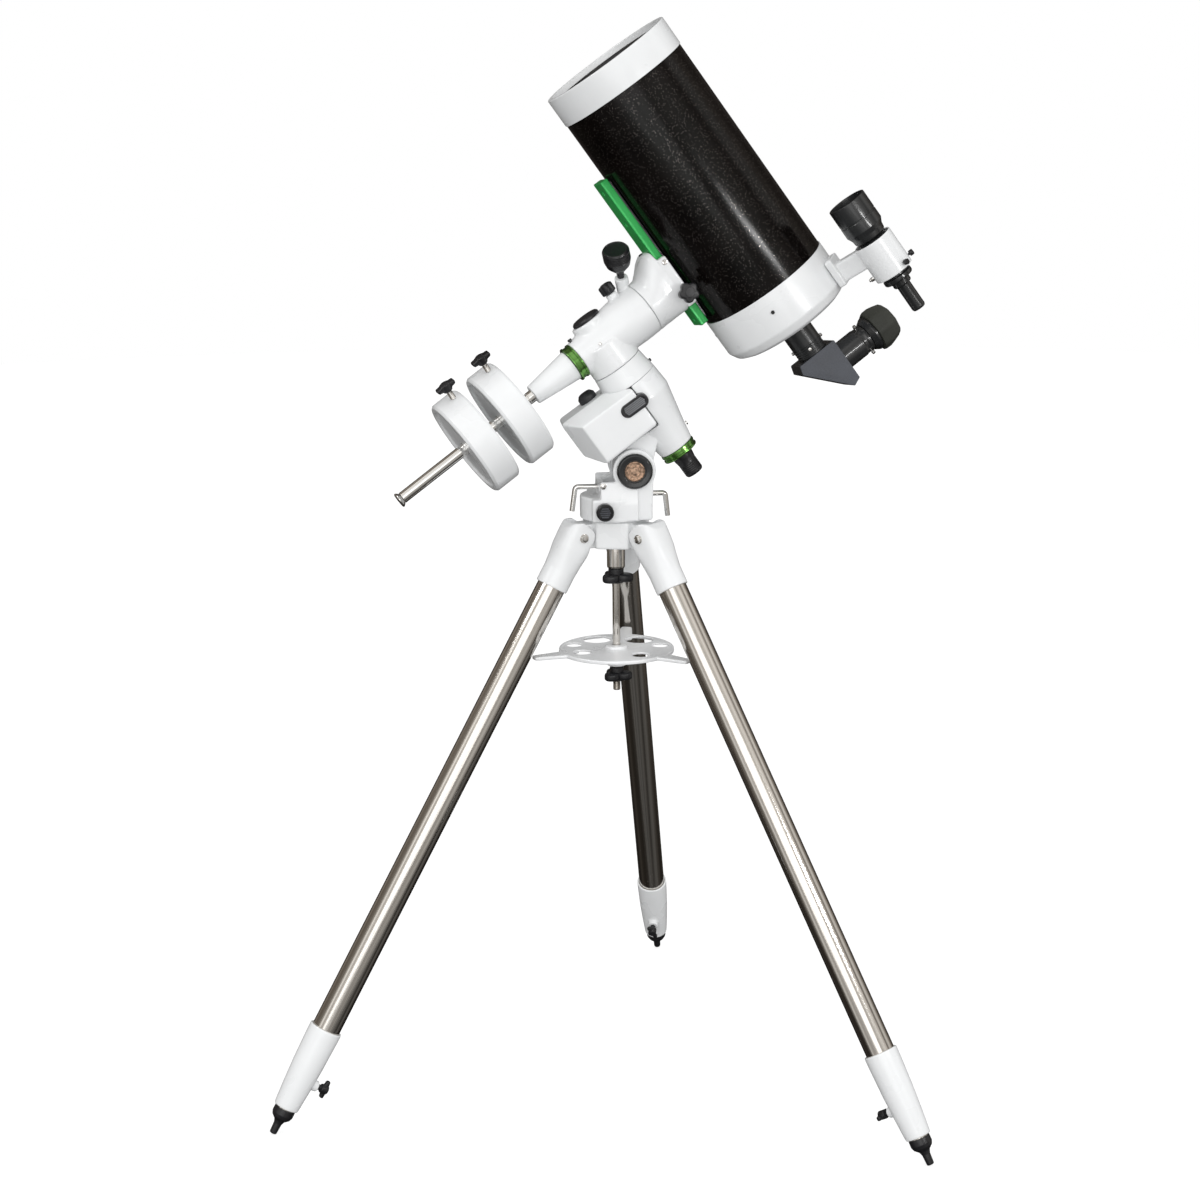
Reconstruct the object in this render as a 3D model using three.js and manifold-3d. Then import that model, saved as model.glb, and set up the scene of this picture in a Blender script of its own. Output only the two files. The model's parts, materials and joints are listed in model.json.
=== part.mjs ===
// A catadioptric telescope on an equatorial mount and a steel tripod.
// Millimetres, +Z up. The origin is on the ground, under the middle of the object.

import * as THREE from 'three';
import { mergeVertices } from 'three/addons/utils/BufferGeometryUtils.js';
import Module from 'manifold-3d';

const wasm = await Module();
wasm.setup();

// ---------------------------------------------------------------- driving dimensions

const GAP = 0.35; // between pieces that touch
const rad = THREE.MathUtils.degToRad;

// Facets on round work, by size.
const FINE = 32;
const MID = 20;
const SMALL = 14;
const TINY = 10;

// Tripod
const HINGE_RADIUS = 64;
const HINGE_HEIGHT = 902;
const LEG_LEAN = 30;
const LEG_AZIMUTHS = { left: 210, right: 330, rear: 90 };
const HUB_BOTTOM = 883;
const HUB_TOP = 926;
const LUG_HALF_WIDTH = 18;
const LUG_RADIUS = 19;
const EAR_HALF_WIDTH = 28;
const TUBE_RADIUS = 22.25;
const TUBE_WALL = 1.5;
const INNER_TUBE_RADIUS = 15.5;
const CAP_RADIUS = 25.5;
const CAP_BOTTOM = -88.6; // leg frame: the hinge is 0 and the leg runs down -Z
const CAP_FLOOR = -45;
const CAP_CORNERS = 33; // the head's corners lie on this radius
const CLAMP_TOP = -851;
const CLAMP_SEAT = -911;
const CLAMP_BOTTOM = -988;
const FOOT_TIP = -1033;
const INNER_TUBE_TOP = -440;
const LEG_SCREW_DROP = -941;

// Centre rod, knobs and accessory tray
const ROD_RADIUS = 5.9;
const ROD_BOTTOM = 650;
const SLEEVE_RADIUS = 14;
const SLEEVE_BOTTOM = 846;
const LOCK_KNOB = { radius: 27, bottom: 822, top: 845 };
const TRAY_KNOB = { radius: 24.5, bottom: 665, top: 687 };
const TRAY_HEIGHT = 715;
const TRAY_RADIUS = 90;
const TRAY_THICKNESS = 6; // at its rim and arms
const TRAY_PLATE = 3.5;
const TRAY_RIM = 5;
const TRAY_ARM_REACH = 139;
const TRAY_HUB_BOTTOM = 690;
const TRAY_HUB_TOP = 724;
const TRAY_HOLES = [
  { radius: 22, reach: 62, azimuths: [62, 127] },
  { radius: 13, reach: 70, azimuths: [19, 170] },
  { radius: 14, reach: 60, azimuths: [215, 316] },
];

// Mount head. Its frame turns about the tripod's axis: +X north, +Y towards the near side.
const POLAR_AZIMUTH = 192.5;
const BASE_RADIUS = 55;
const BASE_TOP = 962;
const PIVOT = { x: -25, z: 1005 };
const PIVOT_BOSS = 33;
const FORK_INSIDE = 31;
const FORK_OUTSIDE = 47;
const FORK_SOUTH = -53;
const BADGE_RADIUS = 27.3;
const BADGE_THICKNESS = 9;
const AZIMUTH_KNOB = { x: 22, z: 945, radius: 13.5 };
const HOUSING_FACE = 55; // of the azimuth knob's housing, from the axis

// Polar (right ascension) axis. Its frame: Z up the axis, +Y to the near side, origin where
// the declination axis crosses it.
const LATITUDE = 54.5;
const CROSSING = { x: 21.4, z: 1196 };
const HEAD_TOP = -42.8;
const HOUSING_TOP = -74.6;
const HOUSING_BOTTOM = -200;
const POLAR_RING_BOTTOM = -212;
const POLAR_CAP_BOTTOM = -250;
const HOUR_ANGLE = 11;
const AXLE_RADIUS = 15; // of the right ascension and declination axles
const AXLE_BORE = 16;

// Declination axis. Its frame: Z towards the tube, +X up the polar axis at rest.
const DEC_RING_TOP = -43.5;
const CONE_TOP = -57;
const CONE_TIP = -131;
const CONE_ROOT_RADIUS = 24.6;
const CONE_TIP_RADIUS = 15.7;
const SADDLE_SEAM = 86;
const SADDLE_TOP = 138.5;
const DECK = { rear: -41, front: 67, half: 38, rearCorner: 12, frontCorner: 22 };
const JAWS = { rear: -36, front: 50, height: 13 };
const SADDLE_RELIEF = { radius: 55, top: 107.5 }; // room for the slow-motion knob as the saddle turns
const SHAFT_RADIUS = 9;
const SHAFT_END = -385;
const TOE_SAVER_RADIUS = 12.3;
const WEIGHT_RADIUS = 80.7;
const WEIGHT_THICKNESS = 45;
const WEIGHT_TOPS = { inner: -154, outer: -221 };
const WEIGHT_BORE = 10.5;
const WEIGHT_SCREW_TURN = 22;
const WEIGHT_SCREW_RISE = 8; // from a weight's middle, towards its upper face
const WEIGHT_SCREW_REACH = { hub: 97, bar: 99, end: 111 };
const WORM_BOSS_END = 54; // along the declination worm, from its middle

// Optical tube. It lies along X in the declination frame.
const TUBE_AXIS = 260.8;
const BARREL_RADIUS = 104.6;
const BARREL_WALL = 2.5;
const BARREL_FRONT = 300;
const RING_RADIUS = 106.2;
const FRONT = 333.8;
const FRONT_RING_REAR = 287.5;
const CELL_FRONT = -82;
const CELL_REAR = -160;
const REAR_PLATE = 9;
const CORRECTOR_X = 306;
const MIRROR_X = -118;
const DOVETAIL_FRONT = 193;
const DOVETAIL_REAR = -73;
const DOVETAIL_HALF = 22;
const DOVETAIL_THICKNESS = 13.5;
const RIB_HALF = 14; // of the rib between the bar and the barrel
const FINDER_TURN = 38;
const FINDER_REACH = 186;
const VISUAL_BACK_RADIUS = 24.5;
const DIAGONAL_NEAR = -218;
const DIAGONAL_LEG = 72;
const EYEPIECE_X = -252;

// ---------------------------------------------------------------- finishes

const FINISHES = {
  whitePaint: { color: 0xf0f1f0, roughness: 0.35, metalness: 0.0 },
  steel: { color: 0xb9b2a6, roughness: 0.22, metalness: 1.0 },
  chrome: { color: 0xd9d9d9, roughness: 0.12, metalness: 1.0 },
  blackPlastic: { color: 0x17181b, roughness: 0.5, metalness: 0.0 },
  blackMetal: { color: 0x121315, roughness: 0.3, metalness: 0.4 },
  tubeBlack: { color: 0x0e0c0b, roughness: 0.18, metalness: 0.3 },
  greenAnodised: { color: 0x2fa84a, roughness: 0.3, metalness: 0.8 },
  rubber: { color: 0x2f302b, roughness: 0.85, metalness: 0.0 },
  silverTray: { color: 0xd2d5d6, roughness: 0.4, metalness: 0.6 },
  glass: { color: 0x9fb4b8, roughness: 0.03, metalness: 0.0 },
  mirror: { color: 0xe8ecee, roughness: 0.02, metalness: 1.0 },
  greyPlastic: { color: 0x4a4d54, roughness: 0.6, metalness: 0.0 },
};

// ---------------------------------------------------------------- geometry helpers

function signedVolume(position, index) {
  const [a, b, c] = [new THREE.Vector3(), new THREE.Vector3(), new THREE.Vector3()];
  let volume = 0;
  for (let i = 0; i < index.length; i += 3) {
    a.fromBufferAttribute(position, index[i]);
    b.fromBufferAttribute(position, index[i + 1]);
    c.fromBufferAttribute(position, index[i + 2]);
    volume += a.dot(b.cross(c)) / 6;
  }
  return volume;
}

// One welded body with its faces pointing out and no collapsed triangles.
function welded(geometry) {
  const bare = geometry.clone();
  bare.deleteAttribute('normal');
  bare.deleteAttribute('uv');
  const merged = mergeVertices(bare, 1e-3);
  const source = merged.getIndex().array;
  const index = [];
  for (let i = 0; i < source.length; i += 3) {
    const [a, b, c] = [source[i], source[i + 1], source[i + 2]];
    if (a !== b && b !== c && c !== a) index.push(a, b, c);
  }
  if (signedVolume(merged.getAttribute('position'), index) < 0) index.reverse();
  merged.setIndex(index);
  return merged;
}

function toSolid(geometry) {
  const clean = welded(geometry);
  return new wasm.Manifold(new wasm.Mesh({
    numProp: 3,
    vertProperties: new Float32Array(clean.getAttribute('position').array),
    triVerts: new Uint32Array(clean.getIndex().array),
  }));
}

function toGeometry(solid) {
  const mesh = solid.getMesh();
  const geometry = new THREE.BufferGeometry();
  geometry.setAttribute('position', new THREE.BufferAttribute(new Float32Array(mesh.vertProperties), 3));
  geometry.setIndex(new THREE.BufferAttribute(new Uint32Array(mesh.triVerts), 1));
  return geometry;
}

function join(...geometries) {
  return toGeometry(geometries.map(toSolid).reduce((sum, next) => sum.add(next)));
}

function cut(body, ...tools) {
  return toGeometry(tools.map(toSolid).reduce((left, tool) => left.subtract(tool), toSolid(body)));
}

function common(a, b) {
  return toGeometry(toSolid(a).intersect(toSolid(b)));
}

// A body of revolution about Z from [radius, height] points; an open profile meets the axis.
function turned(profile, sides = MID) {
  const points = profile.map(([r, z]) => new THREE.Vector2(r, z));
  return new THREE.LatheGeometry(points, sides).rotateX(Math.PI / 2);
}

function pipe(inner, outer, bottom, top, sides = MID) {
  return turned([[inner, bottom], [outer, bottom], [outer, top], [inner, top], [inner, bottom]], sides);
}

function disc(radius, bottom, top, sides = MID) {
  return turned([[0, bottom], [radius, bottom], [radius, top], [0, top]], sides);
}

// The same round bar along X or Y.
function barX(radius, from, to, sides = MID) {
  return disc(radius, from, to, sides).rotateY(Math.PI / 2);
}

function barY(radius, from, to, sides = MID) {
  return disc(radius, from, to, sides).rotateX(-Math.PI / 2);
}

function block(x0, x1, y0, y1, z0, z1) {
  const box = new THREE.BoxGeometry(x1 - x0, y1 - y0, z1 - z0);
  return box.translate((x0 + x1) / 2, (y0 + y1) / 2, (z0 + z1) / 2);
}

function extruded(shape, depth, curveSegments = 6) {
  return new THREE.ExtrudeGeometry(shape, { depth, bevelEnabled: false, curveSegments });
}

function outline(points) {
  return new THREE.Shape(points.map(([x, y]) => new THREE.Vector2(x, y)));
}

// A plate in the XZ plane, from y0 to y1.
function plateXZ(shape, y0, y1, curveSegments = 6) {
  return extruded(shape, y1 - y0, curveSegments).rotateX(Math.PI / 2).translate(0, y1, 0);
}

// A knob with round lobes about Z.
function lobedKnob({ radius, lobes, bottom, top, core, waist = 0.72 }) {
  const shape = new THREE.Shape();
  const steps = lobes * 8;
  for (let i = 0; i < steps; i += 1) {
    const angle = (i / steps) * 2 * Math.PI;
    const swell = 0.5 + 0.5 * Math.cos(lobes * angle);
    const r = radius * (waist + (1 - waist) * Math.sqrt(swell));
    const [x, y] = [r * Math.cos(angle), r * Math.sin(angle)];
    if (i === 0) shape.moveTo(x, y);
    else shape.lineTo(x, y);
  }
  if (core) {
    const hole = new THREE.Path();
    hole.absarc(0, 0, core, 0, 2 * Math.PI, true);
    shape.holes.push(hole);
  }
  return extruded(shape, top - bottom, 8).translate(0, 0, bottom);
}

function piece(parent, name, finish, geometry) {
  const material = new THREE.MeshStandardMaterial(FINISHES[finish]);
  const mesh = new THREE.Mesh(welded(geometry), material);
  mesh.name = name;
  parent.add(mesh);
  return mesh;
}

function frameAt(parent, { x = 0, y = 0, z = 0 } = {}, turn = {}) {
  const group = new THREE.Group();
  group.position.set(x, y, z);
  group.rotation.set(turn.x ?? 0, turn.y ?? 0, turn.z ?? 0);
  parent.add(group);
  return group;
}

// ---------------------------------------------------------------- tripod

const LUG_ROOT = 44; // where a lug leaves the hub, from the tripod's axis

function hubBody() {
  const points = [];
  for (const azimuth of Object.values(LEG_AZIMUTHS).sort((a, b) => a - b)) {
    for (const side of [-1, 1]) {
      const corner = new THREE.Vector2(LUG_ROOT, side * (EAR_HALF_WIDTH + 0.5));
      points.push(corner.rotateAround(new THREE.Vector2(), rad(azimuth)));
    }
  }
  const core = extruded(new THREE.Shape(points), HUB_TOP - HUB_BOTTOM).translate(0, 0, HUB_BOTTOM);
  const lugs = Object.values(LEG_AZIMUTHS).map((azimuth) => {
    const shape = new THREE.Shape();
    shape.moveTo(20, HUB_BOTTOM);
    shape.lineTo(HINGE_RADIUS, HUB_BOTTOM);
    shape.absarc(HINGE_RADIUS, HINGE_HEIGHT, LUG_RADIUS, -Math.PI / 2, Math.PI / 2, false);
    shape.lineTo(20, HINGE_HEIGHT + LUG_RADIUS);
    return plateXZ(shape, -LUG_HALF_WIDTH, LUG_HALF_WIDTH).rotateZ(rad(azimuth));
  });
  const bore = disc(ROD_RADIUS + GAP, HUB_BOTTOM - 1, HUB_TOP + 1, SMALL);
  return cut(join(core, ...lugs), bore);
}

function legCapBody() {
  const side = new THREE.Shape();
  side.moveTo(-25.5, -62);
  side.lineTo(-25.5, -28);
  side.lineTo(-LUG_RADIUS + 1, -8);
  side.absarc(0, 0, LUG_RADIUS, rad(200), rad(115), true);
  side.lineTo(11, 20);
  side.lineTo(22, 14);
  side.lineTo(27.5, 3);
  side.lineTo(27.5, -62);
  const head = common(plateXZ(side, -EAR_HALF_WIDTH, EAR_HALF_WIDTH), disc(CAP_CORNERS, -70, 30, MID));
  const barrel = disc(CAP_RADIUS, CAP_BOTTOM, -35, MID);
  const slot = block(-60, 21.5, -LUG_HALF_WIDTH - 0.6, LUG_HALF_WIDTH + 0.6, -22, 60);
  const bore = disc(TUBE_RADIUS + GAP, CAP_BOTTOM - 1, CAP_FLOOR, MID);
  return cut(join(head, barrel), slot, bore);
}

function legClampBody() {
  const shell = turned([
    [0, CLAMP_BOTTOM], [19.5, CLAMP_BOTTOM], [21.5, CLAMP_BOTTOM + 35],
    [25.9, CLAMP_SEAT + 22], [25.9, CLAMP_TOP], [0, CLAMP_TOP],
  ]);
  const boss = barX(8.5, -31, -10, TINY).translate(0, 0, LEG_SCREW_DROP);
  const seat = disc(TUBE_RADIUS + GAP, CLAMP_SEAT, CLAMP_TOP + 1);
  const bore = disc(INNER_TUBE_RADIUS + 0.6, CLAMP_BOTTOM - 1, CLAMP_SEAT + 1);
  return cut(join(shell, boss), seat, bore);
}

function legScrewBody() {
  const stem = barX(4.5, -40, -31 - GAP, TINY);
  const wing = block(-52, -38, -4.5, 4.5, -14, 14);
  const grip = barX(7.5, -52, -36, TINY);
  return join(stem, wing, grip).translate(0, 0, LEG_SCREW_DROP);
}

function legFootBody() {
  return turned([
    [0, FOOT_TIP], [3.5, FOOT_TIP], [5, FOOT_TIP + 14], [7.5, FOOT_TIP + 16],
    [8, FOOT_TIP + 24], [14, FOOT_TIP + 27], [15.5, CLAMP_BOTTOM - 3], [0, CLAMP_BOTTOM - 3],
  ], SMALL);
}

function buildLeg(tripod, side, azimuth) {
  const sector = frameAt(tripod, {}, { z: rad(azimuth) });
  const leg = frameAt(sector, { x: HINGE_RADIUS, z: HINGE_HEIGHT }, { y: -rad(LEG_LEAN) });
  piece(leg, `leg_cap_${side}`, 'whitePaint', legCapBody());
  piece(leg, `leg_tube_${side}`, 'steel',
    pipe(TUBE_RADIUS - TUBE_WALL, TUBE_RADIUS, CLAMP_SEAT + GAP, CAP_FLOOR - GAP));
  piece(leg, `leg_clamp_${side}`, 'whitePaint', legClampBody());
  piece(leg, `leg_screw_${side}`, 'blackPlastic', legScrewBody());
  piece(leg, `leg_inner_tube_${side}`, 'steel',
    pipe(INNER_TUBE_RADIUS - TUBE_WALL, INNER_TUBE_RADIUS, CLAMP_BOTTOM - 2.6, INNER_TUBE_TOP, SMALL));
  piece(leg, `leg_foot_${side}`, 'blackPlastic', legFootBody());
}

function trayBody() {
  const half = TRAY_THICKNESS / 2;
  const recess = disc(TRAY_RADIUS - TRAY_RIM, -20, half - TRAY_PLATE, FINE);
  const plate = cut(disc(TRAY_RADIUS, -half, half, FINE), recess);
  const hub = disc(17, TRAY_HUB_BOTTOM - TRAY_HEIGHT, TRAY_HUB_TOP - TRAY_HEIGHT, MID);
  const arm = outline([
    [60, -17], [100, -13], [TRAY_ARM_REACH, -8], [TRAY_ARM_REACH, 8], [100, 13], [60, 17],
  ]);
  const arms = Object.values(LEG_AZIMUTHS).map((azimuth) => (
    extruded(arm, TRAY_THICKNESS).translate(0, 0, -half).rotateZ(rad(azimuth))
  ));
  const holes = TRAY_HOLES.flatMap(({ radius, reach, azimuths }) => azimuths.map((azimuth) => (
    disc(radius, -20, 20, MID).translate(reach, 0, 0).rotateZ(rad(azimuth))
  )));
  const bore = disc(ROD_RADIUS + 0.6, -60, 60, SMALL);
  return cut(join(plate, hub, ...arms), ...holes, bore).translate(0, 0, TRAY_HEIGHT);
}

function buildTripod(tripod) {
  piece(tripod, 'tripod_hub', 'whitePaint', hubBody());
  for (const [side, azimuth] of Object.entries(LEG_AZIMUTHS)) buildLeg(tripod, side, azimuth);
  const sleeve = disc(SLEEVE_RADIUS, SLEEVE_BOTTOM, HUB_BOTTOM - GAP, MID);
  const rod = disc(ROD_RADIUS, ROD_BOTTOM, HUB_TOP - GAP, SMALL);
  piece(tripod, 'center_rod', 'steel', join(sleeve, rod));
  piece(tripod, 'mount_lock_knob', 'blackPlastic',
    lobedKnob({ ...LOCK_KNOB, lobes: 3, core: ROD_RADIUS + 0.6 }));
  piece(tripod, 'accessory_tray', 'silverTray', trayBody());
  piece(tripod, 'tray_knob', 'blackPlastic',
    lobedKnob({ ...TRAY_KNOB, lobes: 3, core: ROD_RADIUS + 0.6 }));
}

// ---------------------------------------------------------------- mount head

function azimuthBaseBody() {
  const drum = disc(BASE_RADIUS, HUB_TOP + GAP, BASE_TOP, FINE);
  const knobHousing = block(4, 40, -HOUSING_FACE, HOUSING_FACE, HUB_TOP + 2, BASE_TOP);
  const forkFoot = block(FORK_SOUTH, 4, -FORK_OUTSIDE, FORK_OUTSIDE, HUB_TOP + 2, BASE_TOP);
  const cheek = new THREE.Shape();
  cheek.moveTo(FORK_SOUTH, BASE_TOP - 10);
  cheek.lineTo(30, BASE_TOP - 10);
  cheek.lineTo(27, BASE_TOP + 14);
  cheek.lineTo(PIVOT.x + PIVOT_BOSS * 0.85, PIVOT.z - PIVOT_BOSS * 0.53);
  cheek.absarc(PIVOT.x, PIVOT.z, PIVOT_BOSS, rad(-32), rad(212), false);
  const cheeks = [-1, 1].map((side) => {
    const [inner, outer] = [side * FORK_INSIDE, side * FORK_OUTSIDE];
    return common(
      plateXZ(cheek, Math.min(inner, outer), Math.max(inner, outer), 10),
      block(-60, 60, -60, 60, BASE_TOP - 12, PIVOT.z + PIVOT_BOSS + 1),
    );
  });
  const boltWalls = [
    block(-50, -40, -FORK_INSIDE - 1, FORK_INSIDE + 1, BASE_TOP - 5, BASE_TOP + 8),
    block(18, 28, -FORK_INSIDE - 1, FORK_INSIDE + 1, BASE_TOP - 5, BASE_TOP + 20),
  ];
  const boltHoles = [
    barX(5.2, -60, -30, TINY).translate(0, 0, BASE_TOP - 0.5),
    barX(5.2, 8, 70, TINY).translate(0, 0, BASE_TOP + 12),
  ];
  return cut(join(drum, knobHousing, forkFoot, ...cheeks, ...boltWalls), ...boltHoles);
}

function azimuthKnobBody(side) {
  const [bottom, top] = [HOUSING_FACE + GAP, HOUSING_FACE + 16];
  const grip = lobedKnob({ radius: AZIMUTH_KNOB.radius, lobes: 9, bottom, top, waist: 0.9 });
  const turn = side > 0 ? -Math.PI / 2 : Math.PI / 2;
  return grip.rotateX(turn).translate(AZIMUTH_KNOB.x, 0, AZIMUTH_KNOB.z);
}

// A cranked bolt: a shaft along X, then a handle that hangs down.
function crankedBolt(from, to, drop, lean) {
  const [near, far] = from < to ? [from, to] : [to, from];
  const shaft = barX(4, near, far, TINY);
  const handle = disc(4.2, -drop, 4.2, TINY).rotateY(lean).translate(to, 0, 0);
  return join(shaft, handle);
}

function raHousingBody() {
  const shell = turned([
    [0, HOUSING_BOTTOM], [28, HOUSING_BOTTOM], [33, -173], [40.5, -139],
    [47.5, -108], [46.5, -90], [45.5, HOUSING_TOP], [0, HOUSING_TOP],
  ], FINE);
  const pivot = pivotInPolarFrame();
  const lug = outline([[-20, -110], [60, -110], [pivot.x + 29, pivot.z + 6], [pivot.x, pivot.z - 29],
    [pivot.x - 24, pivot.z - 16], [20, -172]]);
  const web = plateXZ(lug, -FORK_INSIDE + 1, FORK_INSIDE - 1);
  const eye = barY(29, -FORK_INSIDE + 1, FORK_INSIDE - 1, MID).translate(pivot.x, 0, pivot.z);
  const bore = disc(AXLE_BORE, HOUSING_BOTTOM - 1, HOUSING_TOP + 1);
  return cut(join(shell, web, eye), bore, motorPocket());
}

function pivotInPolarFrame() {
  const offset = new THREE.Vector3(PIVOT.x - CROSSING.x, 0, PIVOT.z - CROSSING.z);
  offset.applyAxisAngle(new THREE.Vector3(0, 1, 0), -rad(90 - LATITUDE));
  return offset;
}

// The motor cover stands on the housing's near and north side, with a sloped front edge.
const COVER = { left: 122, right: 3, top: -62, bottom: -143, rim: 24, front: 62, back: -30 };

function coverShell() {
  const rim = outline([
    [COVER.right, COVER.bottom], [101, COVER.bottom - 3], [COVER.left, COVER.bottom + 20],
    [COVER.left, COVER.top], [40, COVER.top], [COVER.right, COVER.top - 14],
  ]);
  const shell = plateXZ(rim, COVER.back, COVER.front);
  const leftSlope = block(0, 80, -200, 200, -300, 100);
  leftSlope.rotateZ(rad(33)).translate(COVER.left, COVER.rim, 0);
  const topSlope = block(-200, 200, -200, 200, 0, 80);
  topSlope.rotateX(rad(-23)).translate(0, COVER.rim, COVER.top);
  return cut(shell, leftSlope, topSlope);
}

function motorPocket() {
  return block(COVER.right - 1, 200, COVER.back - 1, 200, COVER.bottom - 6, COVER.top + 1);
}

function motorCoverBody() {
  const housing = turned([
    [0, -172], [33.6, -172], [41.2, -139], [48.2, -108], [47.2, -90], [46.2, -50], [0, -50],
  ], FINE);
  return cut(coverShell(), housing);
}

function raHeadBody() {
  const shell = turned([[0, HOUSING_TOP + GAP], [45.5, HOUSING_TOP + GAP], [43, -60], [41, HEAD_TOP - GAP],
    [0, HEAD_TOP - GAP]], FINE);
  const axle = disc(AXLE_RADIUS, HOUSING_BOTTOM + 6, HOUSING_TOP + 5);
  return join(shell, axle);
}

// ---------------------------------------------------------------- declination head

function decHousingBody() {
  const barrel = turned([
    [0, DEC_RING_TOP + GAP], [28.5, DEC_RING_TOP + GAP], [30.5, -30], [36, 0], [41, 40],
    [42, 60], [42, SADDLE_SEAM - GAP], [0, SADDLE_SEAM - GAP],
  ], FINE);
  const neck = barX(41, HEAD_TOP, 0, FINE);
  const frontBoss = barX(25, 0, 40, MID);
  const clutchBoss = barX(9, 0, 50, SMALL).translate(0, 0, 57);
  const wormBoss = alongWorm(barX(10.5, 5, WORM_BOSS_END, SMALL));
  const saddleRoom = disc(44, SADDLE_SEAM - GAP, SADDLE_TOP);
  const bore = disc(AXLE_BORE, DEC_RING_TOP - 1, SADDLE_SEAM);
  return cut(join(barrel, neck, frontBoss, clutchBoss, wormBoss), saddleRoom, bore);
}

// The declination worm lies beside its wheel: this turns a part made along X onto its axis.
function alongWorm(geometry) {
  return geometry.rotateY(rad(-12)).rotateZ(rad(35)).translate(17, -24.6, 73);
}

function slowMotionKnobBody() {
  const root = WORM_BOSS_END + GAP;
  return alongWorm(turned([
    [0, root], [5.5, root], [6, root + 10], [12, root + 17], [18, root + 24],
    [21, root + 34], [21, root + 50], [19, root + 54], [0, root + 54],
  ], MID).rotateY(Math.PI / 2));
}

function saddleBody() {
  const foot = disc(42, SADDLE_SEAM, SADDLE_SEAM + 16, FINE);
  const { rear, front, half, rearCorner, frontCorner } = DECK;
  const deckShape = outline([
    [rear, rearCorner - half], [rear + rearCorner, -half], [front - frontCorner, -half],
    [front, frontCorner - half], [front, half - frontCorner], [front - frontCorner, half],
    [rear + rearCorner, half], [rear, half - rearCorner],
  ]);
  const deckBottom = SADDLE_SEAM + 14;
  const deck = extruded(deckShape, SADDLE_TOP - 0.5 - deckBottom).translate(0, 0, deckBottom);
  const inside = DOVETAIL_HALF + GAP;
  const jaws = [[-half, -inside], [inside, half]].map(([y0, y1]) => (
    block(JAWS.rear, JAWS.front, y0, y1, SADDLE_TOP - 1, SADDLE_TOP + JAWS.height)
  ));
  const axle = disc(AXLE_RADIUS, CONE_TOP + GAP, SADDLE_SEAM + 5);
  const relief = pipe(SADDLE_RELIEF.radius, 2 * SADDLE_RELIEF.radius, SADDLE_SEAM, SADDLE_RELIEF.top, FINE);
  return cut(join(foot, deck, ...jaws, axle), relief);
}

function weightBody(top) {
  const bottom = top - WEIGHT_THICKNESS;
  const [rim, edge] = [WEIGHT_RADIUS, 4];
  return turned([
    [WEIGHT_BORE, bottom + 3], [rim - 12, bottom + 3], [rim - 9, bottom], [rim - edge, bottom],
    [rim, bottom + edge], [rim, top - edge], [rim - edge, top], [rim - 9, top],
    [rim - 12, top - 3], [WEIGHT_BORE, top - 3], [WEIGHT_BORE, bottom + 3],
  ], FINE);
}

function weightScrewBody() {
  const { hub: start, bar: inner, end } = WEIGHT_SCREW_REACH;
  const screw = barX(4, WEIGHT_RADIUS + GAP, inner, TINY);
  const hub = barX(8, start, end, TINY);
  const bar = block(inner, end, -6, 6, -16, 16);
  return join(screw, hub, bar);
}

function buildDeclination(polar) {
  const hour = frameAt(polar, {}, { z: rad(HOUR_ANGLE) });
  piece(hour, 'ra_head', 'whitePaint', raHeadBody());
  const dec = frameAt(hour, {}, { y: -Math.PI / 2 });
  piece(dec, 'dec_housing', 'whitePaint', decHousingBody());
  piece(dec, 'dec_clutch_knob', 'blackPlastic',
    lobedKnob({ radius: 12, lobes: 5, bottom: 50 + GAP, top: 66 }).rotateY(Math.PI / 2).translate(0, 0, 57));
  piece(dec, 'dec_slow_motion_knob', 'blackPlastic', slowMotionKnobBody());
  piece(dec, 'dec_ring', 'greenAnodised', pipe(AXLE_BORE, 28.8, CONE_TOP + GAP, DEC_RING_TOP));
  piece(dec, 'shaft_cone', 'whitePaint', turned([
    [0, CONE_TIP], [CONE_TIP_RADIUS, CONE_TIP], [CONE_ROOT_RADIUS, CONE_TOP], [0, CONE_TOP],
  ]));
  piece(dec, 'counterweight_shaft', 'chrome', turned([
    [0, SHAFT_END], [SHAFT_RADIUS, SHAFT_END], [SHAFT_RADIUS, CONE_TIP - 10], [9.6, CONE_TIP - 10],
    [9.6, CONE_TIP - GAP], [0, CONE_TIP - GAP],
  ], SMALL));
  piece(dec, 'toe_saver', 'chrome', disc(TOE_SAVER_RADIUS, SHAFT_END - 6, SHAFT_END - GAP, SMALL));
  for (const [place, top] of Object.entries(WEIGHT_TOPS)) {
    piece(dec, `counterweight_${place}`, 'whitePaint', weightBody(top));
    const seat = top - WEIGHT_THICKNESS / 2 + WEIGHT_SCREW_RISE;
    const side = frameAt(dec, { z: seat }, { z: rad(WEIGHT_SCREW_TURN) });
    piece(side, `weight_screw_${place}`, 'blackPlastic', weightScrewBody());
  }
  piece(dec, 'saddle', 'whitePaint', saddleBody());
  piece(dec, 'saddle_clamp_knob', 'blackPlastic', clampKnobBody());
  return dec;
}

function clampKnobBody() {
  const stem = barY(5, 38 + GAP, 52, TINY);
  const grip = lobedKnob({ radius: 16, lobes: 5, bottom: 50, top: 66 }).rotateX(-Math.PI / 2);
  return join(stem, grip).translate(-14, 0, SADDLE_TOP + 5);
}

// ---------------------------------------------------------------- optical tube

function dovetailBody() {
  const top = SADDLE_TOP + DOVETAIL_THICKNESS;
  const plate = block(DOVETAIL_REAR, DOVETAIL_FRONT, -DOVETAIL_HALF, DOVETAIL_HALF, SADDLE_TOP, top);
  const rib = block(DOVETAIL_REAR + 6, DOVETAIL_FRONT - 6, -RIB_HALF, RIB_HALF, top - 1, top + 15);
  return cut(join(plate, rib), barX(BARREL_RADIUS + 0.8, -300, 400, FINE).translate(0, 0, TUBE_AXIS));
}

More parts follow.
